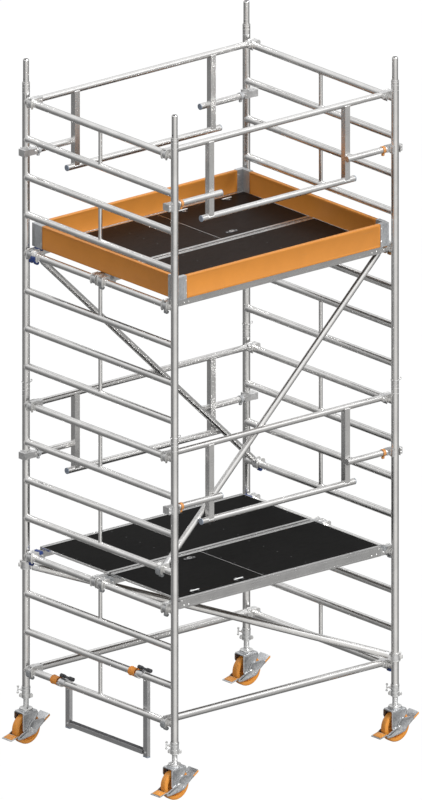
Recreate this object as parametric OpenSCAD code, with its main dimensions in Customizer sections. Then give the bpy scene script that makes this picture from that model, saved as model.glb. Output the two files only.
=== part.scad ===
// Mobile tower scaffold: two ladder frames a side, stacked two high, joined by
// base beams, braces, two working levels and double guardrails, on four castors.
// X runs along the decks, Y along the rungs, Z up. The floor is Z = 0 and the
// origin is the middle of the footprint. "left" is -X and "front" is -Y.

/* [Bay] */
// Distance between the two ladder frames, rung centre to rung centre
bay_length = 1800; // [1700:50:2600]
// Width of a ladder frame over the outside of its posts
frame_width = 1500; // [1450:10:1560]
// Height of the lowest rung above the floor
first_rung_z = 490; // [485:5:520]

/* [Ladder frames] */
// Outside diameter of the posts
post_d = 48.3; // [48.3]
// Wall thickness of the posts
post_wall = 4; // [3:0.2:4.4]
// Outside diameter of the rungs
rung_d = 44.5; // [40:0.5:46]
// Distance between rungs
rung_pitch = 250; // [250]
// Rungs in one ladder frame
rung_count = 8; // [8]
// Diameter of the short struts between pairs of rungs
strut_d = 25; // [20:1:30]
// Diameter of the spigot that joins one frame to the next
spigot_d = 38; // [36:0.5:39.5]
// Length of spigot that stands out of the post
spigot_length = 150; // [120:10:180]

/* [Rails and braces] */
// Outside diameter of the guardrail and brace tubes
rail_d = 40; // [34:1:42]
// Distance between the two rails of a guardrail
rail_spacing = 503; // [480:1:520]
// Side of the square guardrail uprights
upright_side = 40; // [34:1:42]
// Distance from the middle of the bay to a guardrail upright
upright_x = 555; // [500:5:600]
// Depth of the guardrail's post hooks below the top rung
stub_drop = 330; // [300:5:350]
// Outside diameter of the base beams and of the plan brace
beam_d = 48.3; // [48.3]

/* [Working levels] */
// Rung that carries the lower level, counted from the bottom
lower_deck_rung = 4; // [4]
// Rung that carries the upper level
upper_deck_rung = 12; // [12]
// Height of a deck's side rail
deck_rail_h = 65; // [60:1:75]
// Width of a deck's side rail
deck_rail_w = 26; // [22:1:32]
// Thickness of the plywood
ply_t = 12; // [9:1:15]
// Length of the hatch
hatch_length = 680; // [600:10:700]
// Height of the toe boards
toe_h = 150; // [150:5:160]
// Thickness of the toe boards
toe_t = 27; // [20:1:27]

/* [Access bracket] */
// Distance between the two legs of the access bracket
step_leg_gap = 759; // [700:1:800]
// Height of the bracket's feet above the floor
step_foot_z = 188; // [180:4:240]

/* [Castors] */
// Wheel diameter
wheel_d = 200; // [200]
// Width of the tread
wheel_w = 50; // [44:1:54]
// Diameter of the threaded spindle
spindle_d = 35; // [32:0.5:38]
// Outside width of the fork
fork_w = 90; // [88:1:92]
// Reach of each brake pedal from the spindle axis
pedal_reach = 160; // [156:1:164]

/* [Hidden] */
$fn = 64;

aluminium = [0.78, 0.77, 0.75];
cast_aluminium = [0.66, 0.66, 0.65];
galvanised = [0.60, 0.63, 0.66];
orange = [0.87, 0.56, 0.24];
wheel_orange = [0.90, 0.50, 0.15];
lock_blue = [0.15, 0.25, 0.50];
black = [0.08, 0.08, 0.08];
ply_brown = [0.14, 0.11, 0.10];

left = -1;
right = 1;
front = -1;
rear = 1;

// Gap left at a welded or crimped seam, so that each tube is a solid of its own
seam = 0.1;
// Clearance of a hook or clamp on the tube it grips
grip = 0.3;
// Radial clearance of a shaft or pin in its bore
running = 0.08;

post_x = bay_length / 2;
post_y = (frame_width - post_d) / 2;
post_r = post_d / 2;
bore_r = post_r - post_wall;
rung_r = rung_d / 2;
frame_h = rung_pitch * rung_count;
// The posts run half a rung past the first and last rung
frame_z = [first_rung_z - rung_pitch / 2, first_rung_z - rung_pitch / 2 + frame_h];
rung_wall = 2.5;
thin_wall = 2;
spigot_wall = 4;
spigot_root = 80;
clip_hole_r = 5.2;
clip_pin_r = 4.9;
clip_z = 20;

claw_r = 34;
claw_w = 44;
claw_shoulder = 9;
// Hooks sit this far in from the post, and rails this far above the rung
hook_inset = 70;
rail_lift = 18;
rail_y = post_y - hook_inset;
brace_y = post_y - 116;
claw_neck = 62;
// The inside end of a guardrail's post hook, measured from the post
hook_reach = 52;
// Heights of the plan brace's couplers, below and above their rungs
plan_drop = 62;
plan_lift = 66;

function rung_z(k) = first_rung_z + (k - 1) * rung_pitch;

// ---- Shared shapes ---------------------------------------------------------

// A tube that stands on the origin
module tube(d, length, wall) {
    difference() {
        cylinder(d = d, h = length);
        translate([0, 0, -1]) cylinder(d = d - 2 * wall, h = length + 2);
    }
}

// A tube from one point to another
module tube_between(a, b, d, wall) {
    v = b - a;
    translate(a)
        rotate([0, acos(v.z / norm(v)), atan2(v.y, v.x)])
            tube(d, norm(v), wall);
}

// A plug that closes the end of a rail, pointing along +X
module end_plug(d, wall) {
    rotate([0, 90, 0]) {
        cylinder(d = d, h = 3);
        translate([0, 0, -12]) cylinder(d = d - 2 * wall - 2 * seam, h = 12);
    }
}

// Side view of a hook: a ring open below with a squared back, and a neck to its tube
module claw_profile(neck, low, high) {
    difference() {
        union() {
            circle(r = claw_r);
            translate([-neck, low]) square([neck + claw_r - claw_shoulder, high - low]);
        }
        circle(r = rung_r + grip);
        translate([-rung_r - grip, -3 * claw_r])
            square([2 * (rung_r + grip), 3 * claw_r]);
    }
}

// A cast hook over a rung at the left or right frame
module rung_claw(side, y, z, width, neck, low, high) {
    translate([side * post_x, y, z])
        rotate([0, 0, side == left ? 180 : 0])
            rotate([90, 0, 0])
                linear_extrude(width, center = true)
                    claw_profile(neck, low, high);
}

// A swinging tongue that closes a hook from below, on its outer side
module lock_tongue(side, y, z, width) {
    tongue_r = 14;
    translate([side * post_x, y, z])
        rotate([0, 0, side == left ? 180 : 0])
            rotate([90, 0, 0])
                linear_extrude(width, center = true)
                    difference() {
                        union() {
                            translate([12, -claw_r - 2]) circle(r = tongue_r);
                            translate([8, -claw_r]) square([tongue_r, 10]);
                        }
                        circle(r = rung_r + grip);
                    }
}

// ---- Ladder frames ---------------------------------------------------------

module frame_post(foot_z, side, end) {
    translate([side * post_x, end * post_y, foot_z])
        difference() {
            tube(post_d, frame_h - seam, post_wall);
            translate([0, 0, clip_z]) rotate([0, 90, 0])
                cylinder(r = clip_hole_r, h = post_d + 2, center = true);
        }
}

// The spigot is crimped into the head of the post
module frame_spigot(foot_z, side, end) {
    translate([side * post_x, end * post_y, foot_z + frame_h])
        difference() {
            union() {
                translate([0, 0, -spigot_root])
                    cylinder(r = bore_r - seam, h = spigot_root);
                cylinder(d = spigot_d, h = spigot_length - 4);
                translate([0, 0, spigot_length - 4])
                    cylinder(d1 = spigot_d, d2 = spigot_d - 6, h = 4);
            }
            translate([0, 0, -spigot_root - 1])
                cylinder(d = spigot_d - 2 * spigot_wall,
                    h = spigot_root + spigot_length + 2);
            translate([0, 0, clip_z]) rotate([0, 90, 0])
                cylinder(r = clip_hole_r, h = post_d + 2, center = true);
        }
}

module frame_rung(side, z) {
    difference() {
        translate([side * post_x, -post_y, z]) rotate([-90, 0, 0])
            tube(rung_d, 2 * post_y, rung_wall);
        for (end = [front, rear])
            translate([side * post_x, end * post_y, z - rung_d])
                cylinder(r = post_r + seam, h = 2 * rung_d);
    }
}

module frame_strut(side, z) {
    difference() {
        translate([side * post_x, 0, z]) tube(strut_d, rung_pitch, thin_wall);
        for (up = [0, rung_pitch])
            translate([side * post_x, -strut_d, z + up]) rotate([-90, 0, 0])
                cylinder(r = rung_r + seam, h = 2 * strut_d);
    }
}

// One ladder frame: two posts, eight rungs, a strut in every other gap
module ladder_frame(side, level) {
    first = level * rung_count;
    color(aluminium) {
        for (end = [front, rear]) {
            frame_post(frame_z[level], side, end);
            frame_spigot(frame_z[level], side, end);
        }
        for (k = [1:rung_count]) frame_rung(side, rung_z(first + k));
        for (k = [1:2:rung_count]) frame_strut(side, rung_z(first + k));
    }
}

// Spring clips: a pin through post and spigot, held by an open band
module frame_clips() {
    band_h = 9;
    color(galvanised)
        for (side = [left, right], end = [front, rear])
            translate([side * post_x, end * post_y, frame_z[1] + clip_z]) {
                rotate([0, 90, 0])
                    cylinder(r = clip_pin_r, h = 2 * post_r + 14, center = true);
                difference() {
                    translate([0, 0, -band_h / 2])
                        cylinder(r = post_r + 2.6, h = band_h);
                    translate([0, 0, -band_h])
                        cylinder(r = post_r + grip, h = 2 * band_h);
                    translate([-post_d, -post_r / 2, -band_h])
                        cube([post_d, post_r, 2 * band_h]);
                }
                translate([post_r + 4, -5, -band_h / 2]) cube([14, 10, band_h]);
            }
}

// ---- Beams and braces ------------------------------------------------------

// Base beam along the front, hooked over the lowest rungs
module beam() {
    z = rung_z(1);
    reach = post_x - claw_neck;
    color(aluminium)
        translate([-reach + seam, -rail_y, z + rail_lift]) rotate([0, 90, 0])
            tube(beam_d, 2 * (reach - seam), 3.2);
    color(cast_aluminium)
        for (side = [left, right])
            rung_claw(side, -rail_y, z, claw_w, claw_neck, -4, 38);
}

module base_beam_front() { beam(); }
module base_beam_rear() { rotate([0, 0, 180]) beam(); }

// A hook for a sloping brace, its socket turned along the brace
module brace_claw(side, z, toward) {
    slope = atan2(toward, 1);
    translate([side * post_x, -brace_y, z])
        rotate([0, 0, side == left ? 180 : 0])
            difference() {
                union() {
                    rotate([90, 0, 0])
                        cylinder(r = claw_r, h = claw_w, center = true);
                    rotate([0, -90 + slope, 0])
                        cylinder(d = rail_d - 4, h = claw_neck);
                }
                rotate([90, 0, 0])
                    cylinder(r = rung_r + grip, h = 2 * claw_w, center = true);
                translate([-rung_r - grip, -claw_w, -3 * claw_r])
                    cube([2 * (rung_r + grip), 2 * claw_w, 3 * claw_r]);
            }
}

// Front brace: from rung 5 on the left up to rung 12 on the right
module diagonal_brace() {
    low = [-post_x, -brace_y, rung_z(5)];
    high = [post_x, -brace_y, rung_z(12)];
    along = (high - low) / norm(high - low);
    rise = along.z / along.x;
    color(aluminium)
        tube_between(low + along * (claw_neck + seam),
            high - along * (claw_neck + seam), rail_d, thin_wall);
    color(cast_aluminium) {
        brace_claw(left, low.z, rise);
        brace_claw(right, high.z, -rise);
    }
}

module brace_front() { diagonal_brace(); }
module brace_rear() { rotate([0, 0, 180]) diagonal_brace(); }

// Coupler round a post at each end of the plan brace
module post_coupler(side, end, z) {
    color(cast_aluminium)
        translate([side * post_x, end * post_y, z])
            difference() {
                union() {
                    translate([0, 0, -26]) cylinder(r = post_r + 8, h = 52);
                    rotate([0, 0, atan2(-end * post_y, -side * post_x)])
                        translate([post_r - 4, -16, -18]) cube([22, 32, 36]);
                }
                translate([0, 0, -40]) cylinder(r = post_r + grip, h = 80);
            }
}

// Plan brace: corner to corner across the tower, from below the lower level
module plan_brace() {
    high = [-post_x, post_y, rung_z(lower_deck_rung) - plan_drop];
    low = [post_x, -post_y, rung_z(1) + plan_lift];
    along = (low - high) / norm(low - high);
    start = post_r + 19;
    color(aluminium)
        tube_between(high + along * start, low - along * start, beam_d, 3.2);
    difference() {
        union() {
            post_coupler(left, rear, high.z);
            post_coupler(right, front, low.z);
        }
        translate(high + along * (start - seam))
            rotate([0, acos(along.z), atan2(along.y, along.x)])
                cylinder(d = beam_d + 2 * seam, h = norm(low - high) - 2 * (start - seam));
    }
}

// Locks that close the brace and beam hooks from below
module brace_locks() {
    color(lock_blue)
        for (turn = [0, 180]) rotate([0, 0, turn]) {
            lock_tongue(left, -brace_y, rung_z(5), 26);
            lock_tongue(right, -brace_y, rung_z(12), 26);
            lock_tongue(left, -rail_y, rung_z(1), 26);
            lock_tongue(right, -rail_y, rung_z(1), 26);
        }
}

// ---- Guardrails ------------------------------------------------------------

stub_y = rail_y + upright_side / 2 + rail_d / 2;
stub_long_x = 500;
stub_short_x = upright_x - upright_side / 2;
rail_overhang = 65;

// A hook round the inside of a post, open outwards, on the end of a stub.
// Its finger reaches past the post and is squared off
module post_hook(side, z) {
    finger = 54;
    hook_h = 48;
    color(cast_aluminium)
        difference() {
            union() {
                translate([side * post_x, -post_y, z - hook_h / 2])
                    cylinder(r = post_r + 11, h = hook_h);
                translate([side == left ? -post_x - finger : post_x - hook_reach,
                    -stub_y - 16, z - 20])
                    cube([finger + hook_reach, 36, 40]);
                translate([side == left ? -post_x - finger : post_x + post_r + 8,
                    -post_y - 8, z - 22])
                    cube([finger - post_r - 8, post_y - stub_y + 28, 44]);
            }
            translate([side * post_x, -post_y, z - 40])
                cylinder(r = post_r + grip, h = 80);
            translate([side * post_x - post_r - grip, -post_y - 3 * post_r, z - 40])
                cube([2 * (post_r + grip), 3 * post_r, 80]);
        }
}

// One double guardrail, on the front side, hung on the given rung
module guardrail(top_rung) {
    hook_z = rung_z(top_rung);
    top_z = hook_z + rail_lift;
    low_z = top_z - rail_spacing;
    stub_z = hook_z - stub_drop;
    reach = post_x - claw_neck;
    low_x = upright_x + rail_overhang;
    color(aluminium) {
        translate([-reach + seam, -rail_y, top_z]) rotate([0, 90, 0])
            tube(rail_d, 2 * (reach - seam), thin_wall);
        translate([-low_x, -rail_y, low_z]) rotate([0, 90, 0])
            tube(rail_d, 2 * low_x, thin_wall);
        for (side = [left, right]) {
            difference() {
                translate([side * upright_x - upright_side / 2,
                    -rail_y - upright_side / 2, low_z])
                    cube([upright_side, upright_side, rail_spacing]);
                translate([side * upright_x - upright_side / 2 + thin_wall,
                    -rail_y - upright_side / 2 + thin_wall, low_z - 1])
                    cube([upright_side - 2 * thin_wall,
                        upright_side - 2 * thin_wall, rail_spacing + 2]);
                for (z = [low_z, top_z])
                    translate([-post_x, -rail_y, z]) rotate([0, 90, 0])
                        cylinder(r = rail_d / 2 + seam, h = bay_length);
            }
            stub_end = side == left ? stub_long_x : stub_short_x;
            stub_start = post_x - hook_reach - seam;
            translate([side == left ? -stub_start : stub_end, -stub_y - seam, stub_z])
                rotate([0, 90, 0])
                    tube(rail_d, stub_start - stub_end, thin_wall);
            translate([side * low_x, -rail_y, low_z])
                rotate([0, 0, side == left ? 180 : 0]) end_plug(rail_d, thin_wall);
            translate([side * stub_end, -stub_y - seam, stub_z])
                rotate([0, 0, side == left ? 0 : 180]) end_plug(rail_d, thin_wall);
        }
    }
    color(cast_aluminium)
        for (side = [left, right])
            rung_claw(side, -rail_y, hook_z, claw_w, claw_neck, -2, 36);
    for (side = [left, right]) post_hook(side, stub_z);
}

module guardrail_lower_front() { guardrail(8); }
module guardrail_lower_rear() { rotate([0, 0, 180]) guardrail(8); }
module guardrail_upper_front() { guardrail(16); }
module guardrail_upper_rear() { rotate([0, 0, 180]) guardrail(16); }

// Locking collars with a thumb lever, on the stubs next to the post hooks
module guardrail_locks() {
    collar = 20;
    color(orange)
        for (turn = [0, 180], top_rung = [8, 16], side = [left, right])
            rotate([0, 0, turn])
                translate([side * (post_x - 64 - collar / 2), -stub_y - seam,
                    rung_z(top_rung) - stub_drop]) {
                    difference() {
                        union() {
                            rotate([0, 90, 0])
                                cylinder(r = rail_d / 2 + 4, h = collar, center = true);
                            translate([-collar / 2, -7, rail_d / 2])
                                cube([collar, 14, 16]);
                        }
                        rotate([0, 90, 0])
                            cylinder(r = rail_d / 2 + grip, h = 2 * collar, center = true);
                    }
                }
}

// ---- Working levels --------------------------------------------------------

// Decks run beside each other with a narrow gap between them
deck_in = 8;
deck_out = post_y - 43;
deck_end = post_x - 80;
deck_low = -15;
deck_top = deck_low + deck_rail_h;
deck_claw_w = 48;
ply_fit = 0.4;
hatch_edge = deck_end - deck_rail_w;
hatch_in = hatch_edge - hatch_length;
hinge_y = post_y - 114;
hinge_lift = 5.4;
hinge_r = 5;
pin_r = 2.5;
hinge_x = [hatch_edge - 150, hatch_in + 170];
cross_h = 44;
cross_w = 34;
end_set_back = 92;

// Hollow rectangular bar along X, given by its lowest corner
module box_bar_x(length, w, h, wall) {
    difference() {
        cube([length, w, h]);
        translate([-1, wall, wall]) cube([length + 2, w - 2 * wall, h - 2 * wall]);
    }
}

module box_bar_y(w, length, h, wall) {
    difference() {
        cube([w, length, h]);
        translate([wall, -1, wall]) cube([w - 2 * wall, length + 2, h - 2 * wall]);
    }
}

// Frame of the front deck of a level: rails, cross members and hooks
module deck_frame(rung, hatch) {
    z = rung_z(rung);
    inner = deck_out - deck_in - 2 * deck_rail_w;
    last = deck_end - end_set_back;
    cross_x = hatch ? [-last, -hatch_in - cross_w / 2, 240, last - cross_w]
        : [-last, -300, 270, last - cross_w];
    color(aluminium) {
        for (y = [-deck_out, -deck_in - deck_rail_w])
            translate([-deck_end, y, z + deck_low])
                box_bar_x(2 * deck_end, deck_rail_w, deck_rail_h, 2.5);
        for (x = cross_x)
            translate([x, -deck_out + deck_rail_w + seam, z + deck_top - ply_t - cross_h - seam])
                box_bar_y(cross_w, inner - 2 * seam, cross_h, 2.5);
    }
    color(cast_aluminium)
        for (side = [left, right], y = [-deck_out + deck_claw_w / 2, -deck_in - deck_claw_w / 2])
            rung_claw(side, y, z, deck_claw_w, post_x - deck_end - seam, deck_low + 1, 33);
}

// Plywood of the front deck; beside a hatch only the hinge strip is fixed
module deck_panel(rung, hatch) {
    z = rung_z(rung) + deck_top - ply_t;
    y0 = -deck_out + deck_rail_w + ply_fit;
    width = deck_out - deck_in - 2 * deck_rail_w - 2 * ply_fit;
    x0 = hatch ? -hatch_in + 1.5 : -deck_end;
    color(ply_brown) {
        translate([x0, y0, z]) cube([deck_end - x0, width, ply_t]);
        if (hatch)
            translate([-deck_end, y0, z])
                cube([deck_end - hatch_in + 1.4, -hinge_y - y0 - 1, ply_t]);
    }
    if (hatch)
        color(galvanised)
            for (x = hinge_x) hinge_leaf(-x, rung_z(rung) + deck_top, -1);
}

// Half a butt hinge: leaf and knuckles; -1 is the fixed half, 1 the hatch half
module hinge_leaf(x, z, half) {
    axis_z = z + hinge_lift;
    spans = half < 0 ? [[-34, 18], [16, 18]] : [[-15.7, 31.4]];
    leaf_w = half < 0 ? 22 : 32;
    translate([x, -hinge_y, 0])
        for (s = spans)
            difference() {
                union() {
                    translate([s[0], 0, axis_z]) rotate([0, 90, 0])
                        cylinder(r = hinge_r, h = s[1]);
                    translate([s[0], half < 0 ? -leaf_w : 0, z + 0.2])
                        cube([s[1], leaf_w, 2]);
                }
                translate([s[0] - 1, 0, axis_z]) rotate([0, 90, 0])
                    cylinder(r = pin_r + running, h = s[1] + 2);
            }
}

// Hatch of the front deck, with its hinge halves and an oval latch plate
module hatch(rung) {
    top = rung_z(rung) + deck_top;
    y1 = -deck_in - deck_rail_w - 1.5;
    color(ply_brown)
        translate([-hatch_edge - deck_rail_w + 1.5, -hinge_y + 1, top - ply_t])
            cube([hatch_length + deck_rail_w - 3, y1 + hinge_y - 1, ply_t]);
    color(galvanised) {
        for (x = hinge_x) hinge_leaf(-x, top, 1);
        translate([-hatch_in - 140, y1 - 62, top + 0.1]) {
            for (dx = [-26, 26]) translate([dx, 0, 0]) cylinder(r = 19, h = 2.5);
            translate([-26, -19, 0]) cube([52, 38, 2.5]);
        }
    }
}

module hatch_pins() {
    color(galvanised)
        for (level = [[0, lower_deck_rung], [180, upper_deck_rung]], x = hinge_x)
            rotate([0, 0, level[0]])
                translate([-x - 36, -hinge_y, rung_z(level[1]) + deck_top + hinge_lift])
                    rotate([0, 90, 0]) {
                        cylinder(r = pin_r, h = 72);
                        translate([0, 0, -2]) cylinder(r = pin_r + 1.5, h = 2);
                        translate([0, 0, 72]) cylinder(r = pin_r + 1.5, h = 2);
                    }
}

module deck_lower_front() { deck_frame(lower_deck_rung, true); }
module deck_lower_front_panel() { deck_panel(lower_deck_rung, true); }
module hatch_lower() { hatch(lower_deck_rung); }
module deck_lower_rear() { rotate([0, 0, 180]) deck_frame(lower_deck_rung, false); }
module deck_lower_rear_panel() { rotate([0, 0, 180]) deck_panel(lower_deck_rung, false); }
module deck_upper_front() { deck_frame(upper_deck_rung, false); }
module deck_upper_front_panel() { deck_panel(upper_deck_rung, false); }
module deck_upper_rear() { rotate([0, 0, 180]) deck_frame(upper_deck_rung, true); }
module deck_upper_rear_panel() { rotate([0, 0, 180]) deck_panel(upper_deck_rung, true); }
module hatch_upper() { rotate([0, 0, 180]) hatch(upper_deck_rung); }

// Wind locks under the outer deck hooks and under one of the middle pair
module wind_locks() {
    color(lock_blue)
        for (rung = [lower_deck_rung, upper_deck_rung], side = [left, right],
            y = [-deck_out + deck_claw_w / 2, -deck_in - deck_claw_w / 2,
                deck_out - deck_claw_w / 2])
            lock_tongue(side, y, rung_z(rung), 22);
}

// ---- Toe boards ------------------------------------------------------------

toe_z = rung_z(upper_deck_rung) + 38;
toe_side_y = deck_out + 2;
toe_side_x = deck_end - 28;
toe_end_x = post_x - 40;
toe_end_y = deck_out - 66;
bracket_t = 3;

module toeboard_side() {
    color(orange)
        translate([-toe_side_x, -toe_side_y - toe_t, toe_z])
            cube([2 * toe_side_x, toe_t, toe_h]);
}

module toeboard_end() {
    color(orange)
        translate([-toe_end_x, -toe_end_y, toe_z])
            cube([toe_t, 2 * toe_end_y, toe_h]);
}

module toeboard_front() { toeboard_side(); }
module toeboard_rear() { rotate([0, 0, 180]) toeboard_side(); }
module toeboard_left() { toeboard_end(); }
module toeboard_right() { rotate([0, 0, 180]) toeboard_end(); }

// Ribbed corner fittings that take the ends of both boards
module corner_fitting() {
    foot = toe_z;
    side_x = -toe_side_x - seam;
    rib_t = 2.6;
    color(galvanised) {
        // Socket on the end of the long board
        translate([-toe_end_x, -toe_side_y - toe_t - bracket_t, foot])
            cube([toe_end_x + side_x, toe_t + bracket_t, toe_h + 2]);
        for (i = [0:3])
            translate([-toe_end_x + 6 + i * 11, -toe_side_y - toe_t - bracket_t - rib_t, foot])
                cube([4, rib_t + 1, toe_h + 2]);
        // Socket on the end of the short board
        translate([-toe_end_x - bracket_t, -toe_side_y + seam, foot])
            cube([toe_t + bracket_t, toe_side_y - toe_end_y - 2 * seam, toe_h + 2]);
        for (i = [0:4])
            translate([-toe_end_x - bracket_t - rib_t, -toe_side_y + 5 + i * 13, foot])
                cube([rib_t + 1, 4, toe_h + 2]);
    }
}

module toeboard_brackets() {
    for (turn = [0, 180]) rotate([0, 0, turn]) {
        corner_fitting();
        mirror([0, 1, 0]) corner_fitting();
    }
}

// ---- Access bracket --------------------------------------------------------

step_leg = [25, 40];
step_y = [349, 349 - step_leg_gap];
step_x = -post_x + rung_r + 1;
step_rung = [1, 2];

// Two legs hung from the left frame, with a cross bar as the first step
module step_bracket() {
    bar_h = 28;
    bar_z = step_foot_z + 18;
    color(aluminium) {
        for (i = [0, 1])
            translate([step_x, step_y[i] - step_leg[1] / 2, step_foot_z])
                difference() {
                    cube([step_leg[0], step_leg[1], rung_z(step_rung[i]) - step_foot_z]);
                    translate([thin_wall, thin_wall, -1])
                        cube([step_leg[0] - 2 * thin_wall, step_leg[1] - 2 * thin_wall,
                            rung_z(step_rung[i]) - step_foot_z + 2]);
                }
        translate([step_x - 8, step_y[1] + step_leg[1] / 2 + seam, bar_z])
            box_bar_y(41, step_leg_gap - step_leg[1] - 2 * seam, bar_h, thin_wall);
    }
    color(cast_aluminium)
        for (i = [0, 1])
            translate([-post_x, step_y[i], rung_z(step_rung[i])])
                rotate([90, 0, 0])
                    linear_extrude(step_leg[1], center = true)
                        difference() {
                            union() {
                                circle(r = claw_r - 4);
                                translate([rung_r + 1, seam]) square([step_leg[0], 22]);
                            }
                            circle(r = rung_r + grip);
                            translate([-3 * claw_r, -3 * claw_r])
                                square([6 * claw_r, 3 * claw_r]);
                        }
}

// Clamps round the rung beside each leg
module step_bracket_clamps() {
    clamp_w = 62;
    color(orange)
        for (i = [0, 1])
            translate([-post_x, step_y[i] + 48 + clamp_w / 2, rung_z(step_rung[i])])
                rotate([90, 0, 0])
                    linear_extrude(clamp_w, center = true)
                        difference() {
                            union() {
                                circle(r = claw_r);
                                translate([0, -12]) square([claw_r + 8, 24]);
                            }
                            circle(r = rung_r + grip);
                            translate([-4, -3 * claw_r]) square([8, 3 * claw_r]);
                        }
}

// Toggle bolts over the top of each leg
module step_bracket_knobs() {
    color(black)
        for (i = [0, 1])
            translate([-post_x, step_y[i] + 34, rung_z(step_rung[i]) + claw_r + 11])
                rotate([90, 0, 0]) {
                    cylinder(r = 8, h = 120);
                    cylinder(r = 14, h = 30, $fn = 6);
                    translate([0, 0, 84]) cylinder(r = 14, h = 36, $fn = 6);
                }
}

// ---- Castors ---------------------------------------------------------------

wheel_r = wheel_d / 2;
axle_r = 8;
leg_t = 5;
fork_top = 218;
bridge_t = 10;
head_r = 46;
race_r = 41.5;
race_z = fork_top + 8;
race_h = 10;
spindle_top = 760;
kingpin_r = 10;
nut_r = 27;
sleeve_r = 25.6;
nut_h = 66;
axle_reach = fork_w / 2 + 11;
lever_t = 4;
lever_y = fork_w / 2 + 0.6;

// Each castor stands under its own post; all four roll along X
module at_post(side, end) {
    translate([side * post_x, end * post_y, 0]) children();
}

// Threaded rod, upper bearing race and kingpin in one
module spindle() {
    color(galvanised) {
        translate([0, 0, race_z + 0.3 + race_h])
            cylinder(d = spindle_d, h = spindle_top - race_z - race_h - 0.3);
        translate([0, 0, race_z + 0.3]) cylinder(r = race_r, h = race_h);
        translate([0, 0, fork_top - bridge_t - 4])
            cylinder(r = kingpin_r, h = race_z - fork_top + bridge_t + 5);
        translate([0, 0, fork_top - bridge_t - 4])
            cylinder(r = kingpin_r + 6, h = 3.6);
    }
}

// Winged nut under the post: a sleeve up to the post, a low collar round its
// foot and a clamp screw that locks the nut on the thread
module nut() {
    collar_h = 11;
    wing = [18, 8, 28];
    top = frame_z[0] - grip;
    low = top - nut_h;
    screw_z = top - 12;
    screw_reach = 27;
    color(galvanised) {
        difference() {
            union() {
                translate([0, 0, low]) cylinder(r = nut_r, h = wing.z + 6);
                translate([0, 0, low]) cylinder(r = sleeve_r, h = nut_h);
                translate([0, 0, top - 3]) cylinder(r = nut_r + 0.8, h = collar_h + 3);
                for (turn = [-45, 135])
                    rotate([0, 0, turn])
                        translate([sleeve_r - 2, -wing.y / 2, low + 3]) cube(wing);
                rotate([0, 0, 135]) translate([sleeve_r - 2, 0, screw_z]) rotate([0, 90, 0])
                    cylinder(r = 5, h = screw_reach + 2);
                rotate([0, 0, 135]) translate([sleeve_r + screw_reach, 0, screw_z])
                    cylinder(r = 5.5, h = 48, center = true);
            }
            translate([0, 0, low - 1])
                cylinder(r = spindle_d / 2 + running, h = nut_h + 2);
            translate([0, 0, top])
                cylinder(r = post_r + grip, h = collar_h + 20);
        }
    }
}

// Pressed steel fork: lower race and bridge, a broad front cheek and a
// tapered rear leg
module fork() {
    top = fork_top - bridge_t - seam;
    front_cheek = [[-60, top], [-62, 150], [-62, 100], [-50, 86], [-24, 80],
        [24, wheel_r], [24, 120], [60, 186], [60, top]];
    rear_leg = [[-60, top], [-60, 172], [-24, wheel_r], [24, wheel_r], [60, 172],
        [60, top]];
    color(galvanised) {
        difference() {
            union() {
                translate([-60, -fork_w / 2, fork_top - bridge_t])
                    cube([120, fork_w, bridge_t]);
                translate([0, 0, fork_top - 1]) cylinder(r = head_r, h = race_z - fork_top + 1);
            }
            translate([0, 0, fork_top - 2 * bridge_t])
                cylinder(r = kingpin_r + running, h = 4 * bridge_t);
        }
        for (end = [front, rear])
            translate([0, end * (fork_w - leg_t) / 2, 0])
                rotate([90, 0, 0])
                    linear_extrude(leg_t, center = true)
                        difference() {
                            union() {
                                polygon(end == front ? front_cheek : rear_leg);
                                translate([0, wheel_r]) circle(r = 24);
                            }
                            translate([0, wheel_r]) circle(r = axle_r + running);
                        }
    }
}

// Axle bolt with its head and nut
module axle() {
    head_h = 6;
    color(galvanised)
        translate([0, 0, wheel_r]) rotate([90, 0, 0]) {
            cylinder(r = axle_r, h = 2 * (axle_reach - head_h), center = true);
            for (end = [front, rear])
                translate([0, 0, end * (axle_reach - head_h / 2)])
                    cylinder(r = 14, h = head_h, center = true, $fn = 6);
        }
}

// Cast wheel: hub, dished web, rim and rounded tread
module wheel() {
    hub_y = fork_w / 2 - leg_t - 0.5;
    half = wheel_w / 2;
    color(wheel_orange)
        translate([0, 0, wheel_r]) rotate([90, 0, 0])
            rotate_extrude()
                polygon([[axle_r + running, -hub_y], [22, -hub_y], [24, -13],
                    [70, -9], [76, -half + 1], [92, -half], [97, -half + 3],
                    [100, -half + 8], [100, half - 8], [97, half - 3],
                    [92, half], [76, half - 1], [70, 9], [24, 13],
                    [22, hub_y], [axle_r + running, hub_y]]
                    * (wheel_r / 100));
}

// Brake rocker: a plate each side of the fork and a pedal at both ends
module brake_lever() {
    plate = [[-106, 56], [-98, 72], [-69, 89], [-26, 105], [-14, 127], [12, 158],
        [60, 158], [104, 153], [117, 137], [66, 98], [47, 72], [6, 60], [-60, 50],
        [-98, 49]];
    low_pad = [[-pedal_reach, 52], [-pedal_reach + 3, 62], [-98, 74], [-97, 64]];
    high_pad = [[102, 137], [113, 124], [pedal_reach, 161], [pedal_reach - 5, 173]];
    color(galvanised)
        for (end = [front, rear])
            translate([0, end * (lever_y + lever_t / 2), 0])
                rotate([90, 0, 0])
                    linear_extrude(lever_t, center = true)
                        difference() {
                            polygon(plate);
                            translate([0, wheel_r]) circle(r = axle_r + running);
                        }
    color(orange)
        for (pad = [low_pad, high_pad])
            rotate([90, 0, 0])
                linear_extrude(2 * (lever_y - seam), center = true) polygon(pad);
}

// ---- Assembly --------------------------------------------------------------

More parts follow.
